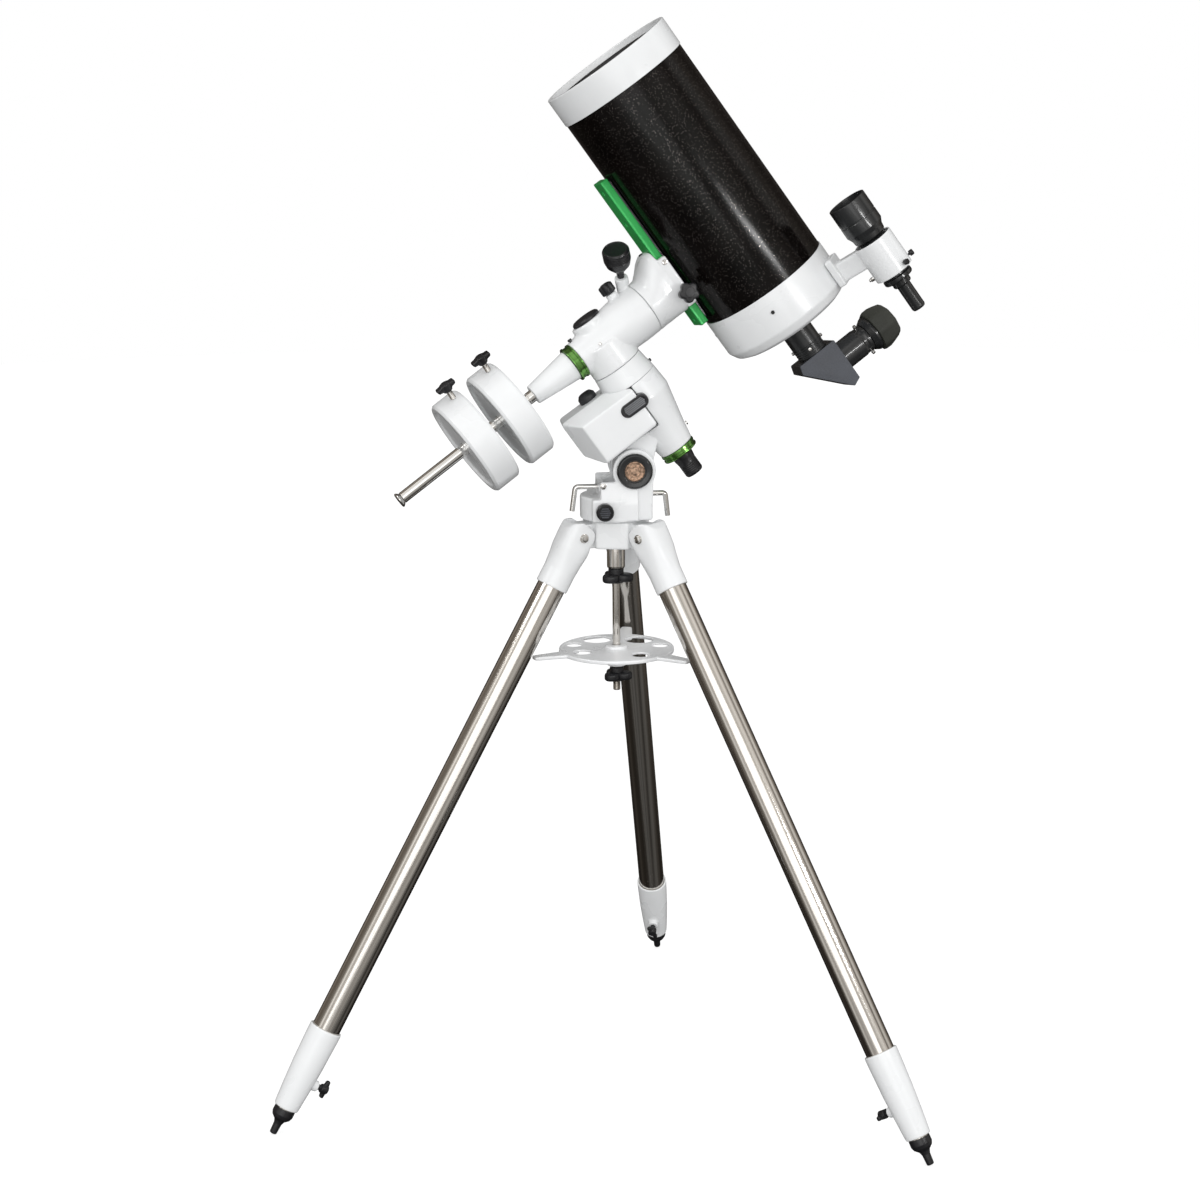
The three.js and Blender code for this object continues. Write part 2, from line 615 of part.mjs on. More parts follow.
function frontRingBody() {
  return turned([
    [BARREL_RADIUS + GAP, FRONT_RING_REAR], [RING_RADIUS, FRONT_RING_REAR], [RING_RADIUS, FRONT - 1],
    [RING_RADIUS - 1, FRONT], [98, FRONT], [96, FRONT - 18], [96, BARREL_FRONT + GAP],
    [BARREL_RADIUS + GAP, BARREL_FRONT + GAP], [BARREL_RADIUS + GAP, FRONT_RING_REAR],
  ], FINE);
}

function correctorBody() {
  return turned([
    [0, CORRECTOR_X - 6], [40, CORRECTOR_X - 4.5], [95.5, CORRECTOR_X + 4],
    [95.5, CORRECTOR_X + 14], [40, CORRECTOR_X + 6], [0, CORRECTOR_X + 4.5],
  ], FINE);
}

function primaryMirrorBody() {
  return turned([
    [21, MIRROR_X], [92, MIRROR_X], [92, MIRROR_X + 22], [23, MIRROR_X + 14], [22, 60], [20, 60],
    [21, MIRROR_X],
  ], FINE);
}

function rearCellBody() {
  const inside = BARREL_RADIUS + GAP;
  const shell = turned([
    [0, CELL_REAR], [88, CELL_REAR], [99, CELL_REAR + 5], [RING_RADIUS, CELL_REAR + 18],
    [RING_RADIUS, CELL_FRONT], [inside, CELL_FRONT], [inside, CELL_FRONT - 14],
    [98, CELL_FRONT - 14], [98, CELL_REAR + REAR_PLATE], [0, CELL_REAR + REAR_PLATE],
  ], FINE);
  return cut(shell, disc(19, CELL_REAR - 1, CELL_REAR + 20, MID));
}

function focusKnobBody() {
  const grip = turned([[0, 0], [15, 0], [17, 3], [17, 26], [8, 28], [8, 34 - GAP], [0, 34 - GAP]], MID);
  return grip.rotateY(Math.PI / 2).translate(CELL_REAR - 34, -52, TUBE_AXIS + 14);
}

function diagonalBody() {
  const prism = new THREE.Shape();
  const near = DIAGONAL_NEAR;
  const top = TUBE_AXIS + 33;
  prism.moveTo(near, top);
  prism.lineTo(near, top - DIAGONAL_LEG + 4);
  prism.lineTo(near - 14, top - DIAGONAL_LEG);
  prism.lineTo(near - DIAGONAL_LEG - 6, top - 14);
  prism.lineTo(near - DIAGONAL_LEG, top);
  const body = plateXZ(prism, -24, 24);
  const holder = disc(23, top - 1, top + 51, MID).translate(EYEPIECE_X, 0, 0);
  const bore = disc(16.3, top + 10, top + 60, MID).translate(EYEPIECE_X, 0, 0);
  return cut(join(body, holder), bore);
}

function eyepieceBody() {
  const seat = TUBE_AXIS + 84;
  return turned([
    [0, seat - 38], [15.9, seat - 38], [15.9, seat + GAP], [24, seat + GAP], [29, seat + 8],
    [29, seat + 12], [0, seat + 12],
  ], MID).translate(EYEPIECE_X, 0, 0);
}

function eyecupBody() {
  const seat = TUBE_AXIS + 84 + 12 + GAP;
  const cup = turned([
    [0, seat], [34, seat], [35.5, seat + 14], [30, seat + 34], [22, seat + 38], [20, seat + 36],
    [20, seat + 16], [0, seat + 16],
  ], 8);
  return cup.translate(EYEPIECE_X, 0, 0);
}

// The finder stands off the rear cell, turned about the tube's axis towards the near side.
function finderBracketBody() {
  const ring = pipe(28, 31, -174, -113, MID).rotateY(Math.PI / 2).translate(0, 0, FINDER_REACH);
  const stalk = block(-148, -116, -9, 9, RING_RADIUS + 8, FINDER_REACH - 29);
  const shoe = block(-150, -104, -19, 19, RING_RADIUS + 0.5, RING_RADIUS + 12);
  return join(ring, stalk, shoe);
}

function finderScopeBody() {
  return turned([
    [0, -242], [11, -242], [11, -198], [15, -196], [15, -188], [24, -186], [24, -180], [21, -178],
    [21, -112], [26, -108], [30.5, -92], [30.5, -44], [27, -44], [26, -70], [0, -72],
  ], MID).rotateY(Math.PI / 2).translate(0, 0, FINDER_REACH);
}

function buildTube(dec) {
  piece(dec, 'dovetail_bar', 'greenAnodised', dovetailBody());
  const axis = frameAt(dec, { z: TUBE_AXIS });
  const along = frameAt(axis, {}, { y: Math.PI / 2 });
  piece(along, 'optical_tube', 'tubeBlack',
    pipe(BARREL_RADIUS - BARREL_WALL, BARREL_RADIUS, CELL_FRONT - 14 + GAP, BARREL_FRONT, FINE));
  piece(along, 'front_ring', 'whitePaint', frontRingBody());
  piece(along, 'corrector_lens', 'glass', correctorBody());
  piece(along, 'primary_mirror', 'mirror', primaryMirrorBody());
  piece(along, 'rear_cell', 'whitePaint', rearCellBody());
  piece(along, 'visual_back', 'blackMetal', turned([
    [0, DIAGONAL_NEAR + GAP], [VISUAL_BACK_RADIUS, DIAGONAL_NEAR + GAP], [VISUAL_BACK_RADIUS, CELL_REAR - 8],
    [27, CELL_REAR - 6], [27, CELL_REAR - GAP], [0, CELL_REAR - GAP],
  ], MID));
  piece(dec, 'focus_knob', 'blackPlastic', focusKnobBody());
  piece(dec, 'star_diagonal', 'greyPlastic', diagonalBody());
  piece(dec, 'eyepiece', 'blackMetal', eyepieceBody());
  piece(dec, 'eyecup', 'rubber', eyecupBody());
  const finder = frameAt(axis, {}, { x: -rad(FINDER_TURN) });
  piece(finder, 'finder_bracket', 'whitePaint', finderBracketBody());
  piece(finder, 'finder_scope', 'blackMetal', finderScopeBody());
}

function buildMount(tripod) {
  const head = frameAt(tripod, {}, { z: rad(POLAR_AZIMUTH) });
  piece(head, 'azimuth_base', 'whitePaint', azimuthBaseBody());
  piece(head, 'azimuth_knob_near', 'blackPlastic', azimuthKnobBody(1));
  piece(head, 'azimuth_knob_far', 'blackPlastic', azimuthKnobBody(-1));
  piece(head, 'altitude_bolt_north', 'chrome',
    crankedBolt(12, 62, 38, rad(-8)).translate(0, 0, BASE_TOP + 12));
  piece(head, 'altitude_bolt_south', 'chrome',
    crankedBolt(-34, -77, 36, rad(6)).translate(0, 0, BASE_TOP - 0.5));
  piece(head, 'altitude_badge', 'blackMetal',
    barY(BADGE_RADIUS, FORK_OUTSIDE + GAP, FORK_OUTSIDE + BADGE_THICKNESS, MID)
      .translate(PIVOT.x, 0, PIVOT.z));
  const polar = frameAt(head, CROSSING, { y: rad(90 - LATITUDE) });
  piece(polar, 'ra_housing', 'whitePaint', raHousingBody());
  piece(polar, 'motor_cover', 'whitePaint', motorCoverBody());
  piece(polar, 'ra_ring', 'greenAnodised', disc(28.8, POLAR_RING_BOTTOM, HOUSING_BOTTOM - GAP, MID));
  piece(polar, 'polar_scope_cap', 'blackPlastic', turned([
    [0, POLAR_CAP_BOTTOM], [14.5, POLAR_CAP_BOTTOM], [17, POLAR_RING_BOTTOM - GAP],
    [0, POLAR_RING_BOTTOM - GAP],
  ], MID));
  const dec = buildDeclination(polar);
  buildTube(dec);
}

const telescope = new THREE.Group();
buildTripod(telescope);
buildMount(telescope);

// The rear leg reaches further back than the front pair forward: the origin goes to the middle.
const extent = new THREE.Box3().setFromObject(telescope, true);
const middle = extent.getCenter(new THREE.Vector3());
telescope.position.set(-middle.x, -middle.y, -extent.min.z);
telescope.updateMatrixWorld(true);

export default telescope;
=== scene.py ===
"""A telescope on an equatorial mount and a steel tripod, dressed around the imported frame.

Local frames are worked out from the record's joints. Shapes are drawn in millimetres in them.
"""

import json
from math import copysign, cos, pi, radians, sin, sqrt, tan

import bmesh
import bpy
from mathutils import Matrix, Vector


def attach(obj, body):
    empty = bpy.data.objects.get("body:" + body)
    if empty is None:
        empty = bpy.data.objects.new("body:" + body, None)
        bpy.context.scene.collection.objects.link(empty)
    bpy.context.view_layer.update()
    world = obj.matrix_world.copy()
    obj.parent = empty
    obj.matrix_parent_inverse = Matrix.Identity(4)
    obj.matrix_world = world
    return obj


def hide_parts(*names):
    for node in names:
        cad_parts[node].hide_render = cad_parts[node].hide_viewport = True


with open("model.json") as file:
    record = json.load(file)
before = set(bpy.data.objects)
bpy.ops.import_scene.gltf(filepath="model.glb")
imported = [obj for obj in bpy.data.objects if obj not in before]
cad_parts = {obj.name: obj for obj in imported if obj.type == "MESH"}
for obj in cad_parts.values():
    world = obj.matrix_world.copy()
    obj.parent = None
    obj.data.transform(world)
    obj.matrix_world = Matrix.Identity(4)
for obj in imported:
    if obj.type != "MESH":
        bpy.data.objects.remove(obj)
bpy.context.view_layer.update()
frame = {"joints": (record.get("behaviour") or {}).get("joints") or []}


JOINTS = {joint["name"]: joint for joint in frame["joints"]}
SIDES = ("left", "right", "rear")

# ---- local frames


def axis_of(name):
    return Vector(JOINTS[name]["axis"]).normalized()


def point_of(name):
    return Vector(JOINTS[name]["pos_m"])


def local(origin, x, y, z):
    """From millimetres in a local frame to metres in the part's own frame."""
    turn = Matrix((x, y, z)).transposed().to_4x4()
    return Matrix.Translation(origin) @ turn @ Matrix.Scale(0.001, 4)


UP = Vector((0, 0, 1))
BASE_HEIGHT = 0.926  # metres from the ground to the azimuth base
FOOT_OF_AXIS = point_of("azimuth_turn") - BASE_HEIGHT * UP
TRIPOD = local(FOOT_OF_AXIS, Vector((1, 0, 0)), Vector((0, 1, 0)), UP)
NEAR = axis_of("azimuth_knob_near_turn")
HEAD = local(FOOT_OF_AXIS, axis_of("altitude_bolt_north_turn"), NEAR, UP)
POLE = axis_of("right_ascension_turn")
POLAR = local(point_of("right_ascension_turn"), NEAR.cross(POLE), NEAR, POLE)
ALONG = axis_of("dovetail_slide")
ACROSS = axis_of("declination_turn")
SIDE = ACROSS.cross(ALONG)
CROSSING = point_of("declination_turn")
DEC = local(CROSSING, ALONG, SIDE, ACROSS)
HOUR = local(CROSSING, -ACROSS, SIDE, ALONG)
TUBE_AXIS = 260.8  # millimetres from the crossing of the axes to the middle of the tube
TUBE = local(CROSSING + ACROSS * TUBE_AXIS / 1000, -ACROSS, SIDE, ALONG)
FINDER_SIDE = axis_of("finder_tilt")
FINDER_OUT = ALONG.cross(FINDER_SIDE)
FINDER = local(CROSSING + ACROSS * TUBE_AXIS / 1000, ALONG, FINDER_SIDE, FINDER_OUT)
FINDER_REACH = 186  # millimetres from the middle of the tube to that of the finder
WEIGHT_RADIUS = 0.09  # metres from the bar to where a weight's screw turns


def leg_frame(side):
    z = -axis_of(f"leg_{side}_extend")
    y = axis_of(f"leg_{side}_fold")
    return local(point_of(f"leg_{side}_fold"), y.cross(z), y, z)


def weight_frame(place):
    x = axis_of(f"weight_{place}_screw_turn")
    return local(point_of(f"weight_{place}_screw_turn") - WEIGHT_RADIUS * x, x, ACROSS.cross(x), ACROSS)


def turned_about(axis, degrees):
    return Matrix.Rotation(radians(degrees), 4, axis)


def moved(x=0.0, y=0.0, z=0.0):
    return Matrix.Translation((x, y, z))


ALONG_X = turned_about("Y", 90)
YZ_TO_X = Matrix(((0, 0, 1, 0), (1, 0, 0, 0), (0, 1, 0, 0), (0, 0, 0, 1)))
ZX_TO_Y = Matrix(((0, 1, 0, 0), (0, 0, 1, 0), (1, 0, 0, 0), (0, 0, 0, 1)))
ALONG_Y = turned_about("X", -90)
WORM = moved(17, -24.6, 73) @ turned_about("Z", 35) @ turned_about("Y", -12)

# ---- shapes
# A shape is (points, faces, texture coordinates for each face).


def filleted(profile, closed=False, steps=5):
    """Rounds the corners that carry a third number, their fillet."""
    out = []
    count = len(profile)
    for i, entry in enumerate(profile):
        corner = Vector(entry[:2])
        radius = entry[2] if len(entry) > 2 else 0
        if not radius or (not closed and i in (0, count - 1)):
            out.append(corner)
            continue
        before = Vector(profile[i - 1][:2]) - corner
        after = Vector(profile[(i + 1) % count][:2]) - corner
        half = before.angle(after) / 2
        reach = min(radius / max(tan(half), 1e-3), before.length * 0.48, after.length * 0.48)
        start = corner + before.normalized() * reach
        end = corner + after.normalized() * reach
        for k in range(steps + 1):
            s = k / steps
            out.append(start * (1 - s) ** 2 + corner * 2 * s * (1 - s) + end * s * s)
    return out


def lathe(profile, sides=96, closed=False):
    """A body of revolution about Z, from (radius, height, fillet) corners."""
    line = filleted(profile, closed)
    points, rings, lengths = [], [], [0.0]
    for i, (radius, height) in enumerate(line):
        if i:
            lengths.append(lengths[-1] + (line[i] - line[i - 1]).length / 1000)
        if radius < 1e-6:
            rings.append([len(points)] * sides)
            points.append((0, 0, height))
            continue
        rings.append(list(range(len(points), len(points) + sides)))
        for j in range(sides):
            angle = 2 * pi * j / sides
            points.append((radius * cos(angle), radius * sin(angle), height))
    faces, coords = [], []
    pairs = list(range(len(rings) - 1)) + ([len(rings) - 1] if closed else [])
    for i in pairs:
        low, high = rings[i], rings[(i + 1) % len(rings)]
        top = lengths[i + 1] if i + 1 < len(lengths) else lengths[i] + 0.001
        for j in range(sides):
            k = (j + 1) % sides
            corners = [
                (low[j], (j / sides, lengths[i])),
                (low[k], ((j + 1) / sides, lengths[i])),
                (high[k], ((j + 1) / sides, top)),
                (high[j], (j / sides, top)),
            ]
            kept = [c for n, c in enumerate(corners) if c[0] not in [d[0] for d in corners[:n]]]
            if len(kept) > 2:
                faces.append([c[0] for c in kept])
                coords.append([c[1] for c in kept])
    return points, faces, coords


def ridges(count, start, pitch, *steps):
    """The same few corners over and over, for a grip or a thread: each step is radius, rise."""
    return [(radius, start + i * pitch + rise) for i in range(count) for radius, rise in steps]


def pipe(inner, outer, bottom, top, sides=96, edge=0.6):
    ring = [(inner, bottom, edge), (outer, bottom, edge), (outer, top, edge), (inner, top, edge)]
    return lathe(ring, sides, closed=True)


def disc(radius, bottom, top, edge=0.6, sides=64):
    return lathe([(0, bottom), (radius, bottom, edge), (radius, top, edge), (0, top)], sides)


def inset(outline, amount):
    """Moves each corner of a closed outline inwards. The outline runs anticlockwise."""
    out = []
    count = len(outline)
    for i, here in enumerate(outline):
        before = (here - outline[i - 1]).normalized()
        after = (outline[(i + 1) % count] - here).normalized()
        normal = Vector((-(before.y + after.y), before.x + after.x))
        if normal.length < 1e-6:
            normal = Vector((-before.y, before.x))
        normal.normalize()
        spread = max(normal.dot(Vector((-before.y, before.x))), 0.5)
        out.append(here + normal * amount / spread)
    return out


def signed_area(outline):
    return sum(a.cross(b) for a, b in zip(outline, outline[1:] + outline[:1])) / 2


def skin(rings):
    """Closes a stack of equal rings of points with sides and two ends."""
    count = len(rings[0])
    last = count * (len(rings) - 1)
    faces = []
    for low in range(0, last, count):
        for i in range(count):
            j = (i + 1) % count
            faces.append([low + i, low + j, low + count + j, low + count + i])
    faces += [list(range(count))[::-1], list(range(last, last + count))]
    return [point for ring in rings for point in ring], faces, None


def prism(corners, bottom, top, edge=1.0, steps=3):
    """An outline drawn out along Z, with rounded rims. Corners may carry a fillet."""
    outline = filleted([tuple(c) for c in corners], closed=True)
    if signed_area(outline) < 0:
        outline.reverse()
    levels = []
    for k in range(steps + 1):
        angle = pi / 2 * k / steps
        levels.append((edge * (1 - sin(angle)), bottom + edge * (1 - cos(angle))))
    levels += [(amount, top - (height - bottom)) for amount, height in reversed(levels)]
    return skin([[(p.x, p.y, height) for p in inset(outline, amount)] for amount, height in levels])


def block(x0, x1, y0, y1, z0, z1, edge=1.0, corner=1.5):
    outline = [(x0, y0, corner), (x1, y0, corner), (x1, y1, corner), (x0, y1, corner)]
    return prism(outline, z0, z1, edge)


def plate(corners, y0, y1, edge=1.0):
    """An outline in the XZ plane, drawn out along Y."""
    return moulded(moved(0, y1, 0) @ turned_about("X", 90), prism(corners, 0, y1 - y0, edge))


def loft(levels, count=72):
    """Rounded boxes stacked along Z: height, middle x, half width x, half width y, squareness."""
    rings = []
    for height, middle, half_x, half_y, power in levels:
        ring = []
        for i in range(count):
            angle = 2 * pi * i / count
            c, d = cos(angle), sin(angle)
            x = copysign(abs(c) ** (2 / power), c) * half_x + middle
            y = copysign(abs(d) ** (2 / power), d) * half_y
            ring.append((x, y, height))
        rings.append(ring)
    return skin(rings)


def lobed(radius, lobes, bottom, top, waist=0.72, edge=2.0, per_lobe=22):
    corners = []
    for i in range(lobes * per_lobe):
        angle = 2 * pi * i / (lobes * per_lobe)
        swell = 0.5 + 0.5 * cos(lobes * angle)
        r = radius * (waist + (1 - waist) * swell ** 0.6)
        corners.append((r * cos(angle), r * sin(angle)))
    return prism(corners, bottom, top, edge)


def swept(path, radius, bend=5.0, sides=24):
    """A round bar along a bent path, with rounded bends and flat ends."""
    path = [Vector(p) for p in path]
    line = [path[0]]
    for before, corner, after in zip(path, path[1:], path[2:]):
        start = corner + (before - corner).normalized() * bend
        end = corner + (after - corner).normalized() * bend
        for k in range(9):
            s = k / 8
            line.append(start * (1 - s) ** 2 + corner * 2 * s * (1 - s) + end * s * s)
    line.append(path[-1])
    rings = []
    tangents = [(b - a).normalized() for a, b in zip(line, line[1:])]
    tangents.append(tangents[-1])
    across = tangents[0].orthogonal().normalized()
    for i, centre in enumerate(line):
        across = (across - tangents[i] * across.dot(tangents[i])).normalized()
        other = tangents[i].cross(across)
        angles = [2 * pi * j / sides for j in range(sides)]
        rings.append([tuple(centre + (across * cos(a) + other * sin(a)) * radius) for a in angles])
    return skin(rings)


def moulded(matrix, shape):
    points, faces, coords = shape
    return [tuple(matrix @ Vector(p)) for p in points], faces, coords


def together(*shapes):
    """Several shapes as one piece, kept as separate shells."""
    points, faces, coords = [], [], []
    for shape_points, shape_faces, shape_coords in shapes:
        offset = len(points)
        points += shape_points
        faces += [[i + offset for i in face] for face in shape_faces]
        coords += shape_coords or [[(0, 0)] * len(face) for face in shape_faces]
    return points, faces, coords


def to_mesh(name, shape):
    points, faces, coords = shape
    mesh = bpy.data.meshes.new(name)
    mesh.from_pydata([tuple(p) for p in points], [], faces)
    if coords:
        layer = mesh.uv_layers.new(name="UVMap")
        flat = [value for face in coords for uv in face for value in uv]
        layer.data.foreach_set("uv", flat)
    work = bmesh.new()
    work.from_mesh(mesh)
    bmesh.ops.recalc_face_normals(work, faces=work.faces)
    work.to_mesh(mesh)
    work.free()
    return mesh


def applied(obj):
    """The object's mesh with its modifiers made real."""
    graph = bpy.context.evaluated_depsgraph_get()
    mesh = bpy.data.meshes.new_from_object(obj.evaluated_get(graph))
    obj.modifiers.clear()
    obj.data = mesh


def added(name, data):
    obj = bpy.data.objects.new(name, data)
    bpy.context.scene.collection.objects.link(obj)
    return obj


def casting(name, solids, cuts=(), grain=1.2, soften=6, within=()):
    """Solids joined, kept within an outline, cut, then softened all over like a painted casting."""
    body = added(name, to_mesh(name, solids[0]))
    for operation, shapes in (("UNION", solids[1:]), ("INTERSECT", within), ("DIFFERENCE", cuts)):
        for shape in shapes:
            tool = added("tool", to_mesh("tool", shape))
            modifier = body.modifiers.new("shape", "BOOLEAN")
            modifier.operation = operation
            modifier.solver = "MANIFOLD"
            modifier.object = tool
            applied(body)
            bpy.data.objects.remove(tool)
    remesh = body.modifiers.new("skin", "REMESH")
    remesh.mode = "VOXEL"
    remesh.voxel_size = grain
    smooth = body.modifiers.new("soft", "SMOOTH")
    smooth.factor = 0.5
    smooth.iterations = soften
    applied(body)
    mesh = body.data
    bpy.data.objects.remove(body)
    return mesh


# ---- materials


def node(tree, kind, sockets=(), **values):
    """A shader node with its settings made and its sockets set, or linked to another node's output."""
    made = tree.nodes.new(kind)
    for key, value in (*values.items(), *dict(sockets).items()):
        if isinstance(value, bpy.types.NodeSocket):
            tree.links.new(value, made.inputs[key])
        elif isinstance(key, int) or key in made.inputs:
            made.inputs[key].default_value = value
        else:
            setattr(made, key, value)
    return made


def spread(tree, source, low, high, start=0.35, end=0.65):
    """Takes a noise value from low to high."""
    sockets = {"Value": source, "From Min": start, "From Max": end, "To Min": low, "To Max": high}
    return node(tree, "ShaderNodeMapRange", sockets).outputs["Result"]


def surface(name, colour, roughness, tone=0.06, play=0.06, grain=1500.0, bump=0.03, blotch=14.0,
            metallic=0.0, coat=0.0, stretch=None, cells=False):
    """Colour and roughness that wander a little, under a fine grain."""
    material = bpy.data.materials.new(name)
    material.use_nodes = True
    tree = material.node_tree
    shader = tree.nodes["Principled BSDF"]
    shader.inputs["Metallic"].default_value = metallic
    shader.inputs["Coat Weight"].default_value = coat
    shader.inputs["Coat Roughness"].default_value = 0.06
    place = tree.nodes.new("ShaderNodeTexCoord").outputs["UV" if stretch else "Object"]
    if stretch:
        place = node(tree, "ShaderNodeMapping", Scale=stretch, Vector=place).outputs["Vector"]
    wide = node(tree, "ShaderNodeTexNoise", Vector=place, Scale=1.0 if stretch else blotch, Detail=3.0)
    wander = wide.outputs[0]
    fine_kind = "ShaderNodeTexVoronoi" if cells else "ShaderNodeTexNoise"
    fine = node(tree, fine_kind, Vector=place, Scale=3.0 if stretch else grain)
    dark, light = [(*[min(c * (1 + change), 1) for c in colour], 1) for change in (-tone, tone)]
    mix = node(tree, "ShaderNodeMix", {0: spread(tree, wander, 0, 1), 6: dark, 7: light}, data_type="RGBA")
    rough = spread(tree, wander, max(roughness - play, 0.02), roughness + play)
    grains = fine.outputs["Distance" if cells else 0]
    height = node(tree, "ShaderNodeBump", Strength=bump, Distance=0.0004, Height=grains)
    tree.links.new(mix.outputs[2], shader.inputs["Base Color"])
    tree.links.new(rough, shader.inputs["Roughness"])
    tree.links.new(height.outputs["Normal"], shader.inputs["Normal"])
    return material


def flecked(name):
    """Gloss black with sparse bright flakes."""
    material = surface(name, (0.0035, 0.0026, 0.0023), 0.17, tone=0.3, play=0.03, bump=0.01)
    tree = material.node_tree
    shader = tree.nodes["Principled BSDF"]
    shader.inputs["Specular IOR Level"].default_value = 0.20
    place = tree.nodes.new("ShaderNodeTexCoord").outputs["Object"]
    cells = node(tree, "ShaderNodeTexVoronoi", Vector=place, Scale=720.0)
    dot = spread(tree, cells.outputs["Distance"], 1.0, 0.0, 0.22, 0.34)
    split = node(tree, "ShaderNodeSeparateColor", {0: cells.outputs["Color"]})
    some = spread(tree, split.outputs[0], 0.0, 1.0, 0.80, 0.95)
    flake = node(tree, "ShaderNodeMath", {0: dot, 1: some}, operation="MULTIPLY").outputs[0]
    base = shader.inputs["Base Color"].links[0].from_socket
    mix = node(tree, "ShaderNodeMix", {0: flake, 6: base, 7: (0.30, 0.27, 0.25, 1)}, data_type="RGBA")
    tree.links.new(mix.outputs[2], shader.inputs["Base Color"])
    tree.links.new(flake, shader.inputs["Metallic"])
    return material


def glass(name):
    material = surface(name, (0.93, 0.97, 0.96), 0.04, tone=0.01, play=0.015, bump=0.002, coat=1.0)
    material.node_tree.nodes["Principled BSDF"].inputs["Transmission Weight"].default_value = 1.0
    return material


LOOKS = {
    "white_paint": dict(colour=(0.79, 0.80, 0.805), roughness=0.30, tone=0.018, play=0.05, grain=1100,
        bump=0.05, coat=0.35),
    "polished_steel": dict(colour=(0.69, 0.66, 0.62), roughness=0.15, tone=0.12, play=0.05, bump=0.05,
        metallic=1.0, stretch=(260, 3, 1)),
    "chrome": dict(colour=(0.80, 0.79, 0.77), roughness=0.12, tone=0.05, play=0.05, bump=0.02,
        metallic=1.0),
    "black_plastic": dict(colour=(0.010, 0.010, 0.012), roughness=0.36, tone=0.25, play=0.08, grain=1700,
        bump=0.18),
    "black_metal": dict(colour=(0.014, 0.015, 0.016), roughness=0.27, tone=0.25, play=0.05, grain=2200,
        bump=0.06, coat=0.3),
    "grey_plastic": dict(colour=(0.060, 0.065, 0.078), roughness=0.50, tone=0.2, play=0.08, grain=900,
        bump=0.55, cells=True),
    "pale_grey": dict(colour=(0.17, 0.175, 0.185), roughness=0.42, tone=0.12, play=0.06, grain=1500,
        bump=0.15),
    "badge_bronze": dict(colour=(0.44, 0.29, 0.20), roughness=0.40, tone=0.55, play=0.08, grain=1300,
        bump=0.45, blotch=260.0, metallic=0.55),
    "green_anodised": dict(colour=(0.03, 0.42, 0.09), roughness=0.34, tone=0.08, play=0.05, grain=1900,
        bump=0.06, metallic=0.25),
    "green_ring": dict(colour=(0.16, 0.36, 0.09), roughness=0.20, tone=0.12, play=0.05, grain=1900,
        bump=0.06, metallic=1.0),
    "eyecup_rubber": dict(colour=(0.034, 0.036, 0.028), roughness=0.72, tone=0.25, play=0.08, grain=1200,
        bump=0.3),
    "tray_silver": dict(colour=(0.86, 0.87, 0.88), roughness=0.34, tone=0.04, play=0.07, grain=1300,
        bump=0.12, metallic=0.12),
    "mirror_coating": dict(colour=(0.90, 0.91, 0.92), roughness=0.03, tone=0.01, play=0.01, bump=0.002,
        metallic=1.0),
}
MATERIALS = {name: surface(name, **look) for name, look in LOOKS.items()}
MATERIALS["tube_black"] = flecked("tube_black")
MATERIALS["lens_glass"] = glass("lens_glass")

# ---- placing


def show(name, body, slot, where, shape, replaces=(), smooth_angle=32, look=None):
    """Puts one finished piece on its body, with its slot's material or a variant of it."""
    mesh = shape if isinstance(shape, bpy.types.Mesh) else to_mesh(name, shape)
    mesh.name = name
    mesh.transform(where)
    mesh.shade_smooth()
    if not isinstance(shape, bpy.types.Mesh):
        mesh.set_sharp_from_angle(angle=radians(smooth_angle))
    mesh.materials.clear()
    mesh.materials.append(MATERIALS[look or slot])
    obj = added(name, mesh)
    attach(obj, body)
    if replaces:
        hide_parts(*replaces)
    return obj


def spaced(azimuths, reach, height):
    """Numbered places around Z that face outwards."""
    return enumerate(turned_about("Z", a) @ moved(reach, 0, height) @ ALONG_X for a in azimuths)


def hex_head(across, bottom, top):
    radius = across / sqrt(3)
    corners = [(radius * cos(pi / 3 * i), radius * sin(pi / 3 * i), 0.4) for i in range(6)]
    return prism(corners, bottom, top, 0.5)


def socket_screw(radius, height):
    """A small round screw with a recess in its head, along +Z."""
    rim = [(0, 0), (radius, 0), (radius, height, 0.5), (radius * 0.5, height, 0.2),
        (radius * 0.5, height * 0.45), (0, height * 0.45)]
    return lathe(rim, 28)


def wing_grip(start, end, span, thick):
    """A two-winged grip round a screw that lies along X."""
    deep = end - start
    half = [(0.35 * span, start, 2), (0.53 * span, start + 0.28 * deep, 3),
        (0.91 * span, start + 0.35 * deep, 2.4), (span, start + 0.57 * deep, 2),
        (0.97 * span, start + 0.85 * deep, 2.2), (0.5 * span, start + 0.9 * deep, 3), (0.34 * span, end, 2)]
    outline = half + [(-z, x, fillet) for z, x, fillet in reversed(half)]
    wings = moulded(moved(0, -thick, 0) @ ZX_TO_Y, prism(outline, 0, 2 * thick, 2.2))
    return together(wings, moulded(ALONG_X, disc(0.49 * span, start, end - 0.4, 1.8, 48)))


def knob_with_collar(radius, lobes, bottom, top, bore=0.0):
    """A three-lobed clamping nut with a stepped collar on its upper face."""
    grip = lobed(radius, lobes, bottom + 2, bottom + 14.5, waist=0.50, edge=4.0)
    collar = pipe(bore, radius * 0.44, bottom, top, 48, 1.4)
    return together(grip, collar)


# ---- tripod

LEG_AZIMUTHS = {"left": 210, "right": 330, "rear": 90}
EAR = 28  # half width of a leg cap
LUG = 18  # half width of the hub's lugs
SCREW_PLACE = moved(0, 0, -941)  # of a leg's thumb screw


